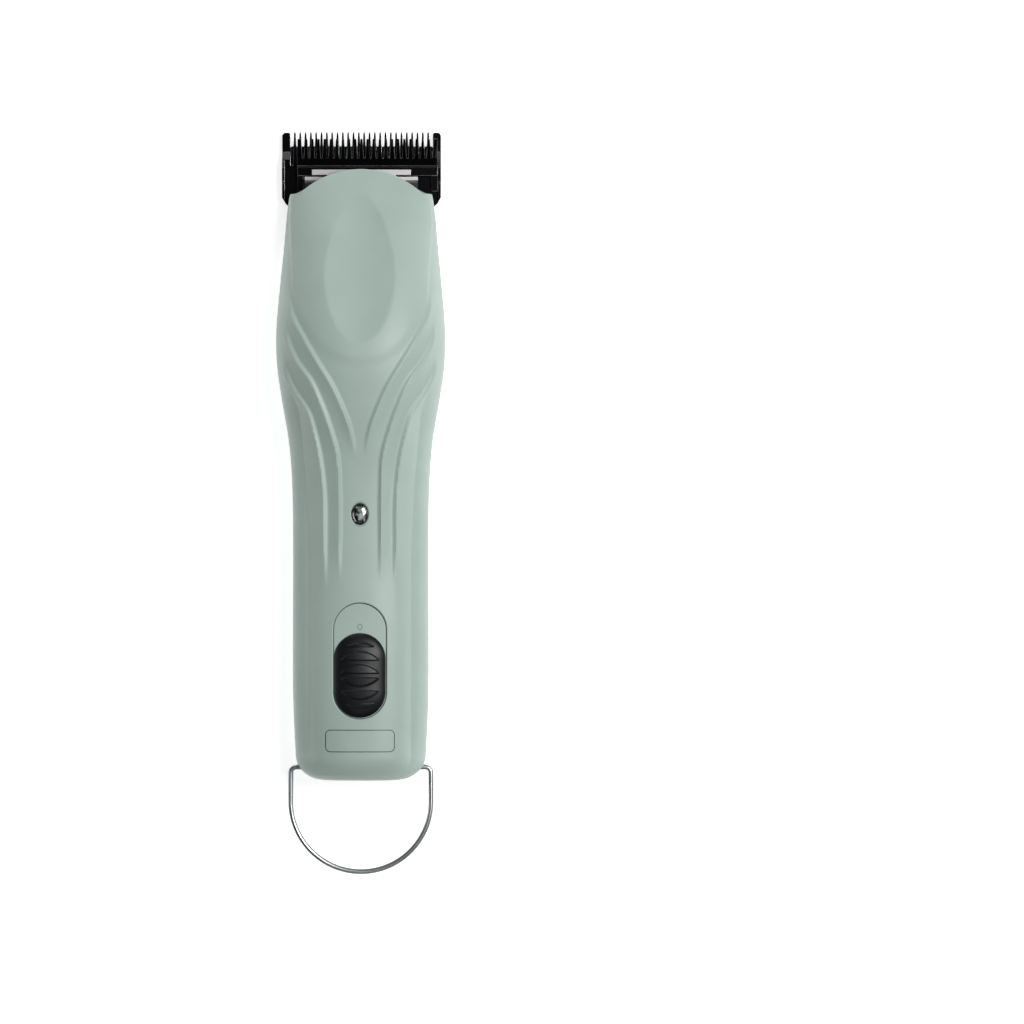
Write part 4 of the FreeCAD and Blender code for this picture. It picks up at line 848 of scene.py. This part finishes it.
def build_indicator():
    b = Builder()
    base = float(face_height(0.0, INDICATOR_Y))
    rows = []
    for offset, up in RING_SECTION:
        plan = oval_outline(INDICATOR_A, INDICATOR_B, INDICATOR_Y, offset)
        rows.append(np.column_stack([plan, np.full(len(plan), base + up)]))
    b.grid(np.array(rows), close_v=True)
    b.piece("indicator_ring", M["chrome_trim"], "housing", ["indicator_bezel"])

    b = Builder()
    rows = []
    for share in np.concatenate([[1.0, 0.99, 0.97, 0.94], np.linspace(0.9, 0.02, 16)]):
        half_x, half_y = (INDICATOR_A - RING_WIDTH) * share, (INDICATOR_B - RING_WIDTH) * share
        plan = oval_outline(half_x, half_y, INDICATOR_Y, 0.0)
        z = base - 0.55 + 0.6 * math.sqrt(1 - share**2) ** 0.8
        rows.append(np.column_stack([plan, np.full(len(plan), z)]))
    b.grid(np.array(rows), close_v=True)
    b.piece("indicator_dome", M["smoked_lens"], "housing", ["indicator_lens"])


# ------------------------------------------------------------------ hanging loop
WIRE, WIRE_SIDES, LOOP_RADIUS, LOOP_CORNER = 0.8, 24, 20.65, 1.7
LOOP_Y, LOOP_Z, LOOP_END, LOOP_REAR_Y = -77.9, 15.05, 15.4, -109.5


def build_loop():
    centre_y = LOOP_REAR_Y + WIRE + LOOP_RADIUS
    path = [(-LOOP_END, LOOP_Y), (-17.5, LOOP_Y)]
    for k in range(13):
        a = k / 12 * math.pi / 2
        path.append((-LOOP_RADIUS + LOOP_CORNER * (1 - math.sin(a)), LOOP_Y - LOOP_CORNER * (1 - math.cos(a))))
    path += [(-LOOP_RADIUS, y) for y in np.linspace(LOOP_Y - LOOP_CORNER - 1, centre_y + 0.8, 5)]
    for k in range(97):
        a = math.pi + k / 96 * math.pi
        path.append((LOOP_RADIUS * math.cos(a), centre_y + LOOP_RADIUS * math.sin(a)))
    half = [p for p in path if p[0] < -0.01]
    middle = [p for p in path if abs(p[0]) <= 0.01]
    path = np.array(half + middle + [(-x, y) for x, y in reversed(half)])
    along = np.gradient(path, axis=0)
    along /= np.linalg.norm(along, axis=1, keepdims=True)
    side = np.stack([-along[:, 1], along[:, 0]], -1)
    turn = np.linspace(0, 2 * math.pi, WIRE_SIDES, endpoint=False)
    rows = np.zeros((len(path), WIRE_SIDES, 3))
    rows[..., :2] = path[:, None, :] + side[:, None, :] * (WIRE * np.cos(turn))[None, :, None]
    rows[..., 2] = LOOP_Z + WIRE * np.sin(turn)
    b = Builder()
    b.grid(rows, close_v=True)
    for row, flip in ((rows[0], False), (rows[-1], True)):
        b.fan(row, row.mean(0), flip)
    b.piece("loop_wire", M["polished_steel"], "loop", ["hanging_loop"], sharp=60)


build_slider()
build_track_plate()
build_off_mark()
build_badge()
build_indicator()
build_loop()

# fine edges on the pieces that stay as the CAD made them
EDGE_WIDTHS = {"comb_blade": 0.18, "cutter_blade": 0.16, "tension_spring": 0.07, "blade_socket": 0.07,
               "blade_guide": 0.07, "release_latch": 0.15, "hinge_tongue": 0.15, "head_frame": 0.2}
for node, width in EDGE_WIDTHS.items():
    thing = frame["nodes"][node]
    weld = thing.modifiers.new("join", "WELD")
    weld.merge_threshold = 0.002 * MM
    bevel = thing.modifiers.new("edge", "BEVEL")
    bevel.width = width * MM
    bevel.segments = 2
    bevel.limit_method = "ANGLE"
    bevel.angle_limit = math.radians(30)
    bevel.harden_normals = True
    if node in ("comb_blade", "cutter_blade"):
        # painted highlight: the bevelled edges get a lighter steel, so they show as bright lines along the black
        # faces
        thing.data.materials.append(M["blade_edge_painted_highlight"])
        bevel.material = 1

# ------------------------------------------------------------------ floor and light
FLOOR_HALF, FLOOR_Z, FLOOR_GLOW = 2500.0, -0.6, 0.75
floor = Builder()
floor.grid(np.array([[(x, y, FLOOR_Z) for x in (-FLOOR_HALF, FLOOR_HALF)] for y in (-FLOOR_HALF, FLOOR_HALF)]))
floor_mesh = bpy.data.meshes.new("floor")
floor_mesh.from_pydata([(x * MM, y * MM, z * MM) for x, y, z in floor.points], [], floor.faces)
floor_thing = bpy.data.objects.new("floor", floor_mesh)
bpy.context.scene.collection.objects.link(floor_thing)
white = material("floor_white", (0.9, 0.9, 0.9, 1), 0.9, mottle=0.003, specular=0.1)
surface = white.node_tree.nodes["Principled BSDF"]
surface.inputs["Emission Color"].default_value = (1, 1, 1, 1)
surface.inputs["Emission Strength"].default_value = FLOOR_GLOW
floor_thing.data.materials.append(white)


LIGHT_TARGET = Vector((0, 0, 0.02))


def area_light(name, place, size, watts):
    """A white rectangular light that shines at the middle of the object."""
    data = bpy.data.lights.new(name, "AREA")
    data.shape = "RECTANGLE"
    data.size, data.size_y = size
    data.energy = watts
    light = bpy.data.objects.new(name, data)
    bpy.context.scene.collection.objects.link(light)
    light.location = place
    light.rotation_euler = (LIGHT_TARGET - Vector(place)).to_track_quat("-Z", "Y").to_euler()


area_light("key", (0.42, 0.17, 0.89), (0.34, 0.5), 9.2)
area_light("rim_left", (-0.75, 0.0, 0.09), (0.10, 0.8), 0.6)
area_light("front", (-0.14, 0.75, 0.20), (0.4, 0.14), 0.9)
area_light("rear", (0.0, -0.62, 0.80), (0.5, 0.1), 0.4)

world = bpy.data.worlds.new("studio")
bpy.context.scene.world = world
world.use_nodes = True
world.node_tree.nodes["Background"].inputs["Color"].default_value = (1, 1, 1, 1)
world.node_tree.nodes["Background"].inputs["Strength"].default_value = 0.05
bpy.context.scene.view_settings.view_transform = "Standard"
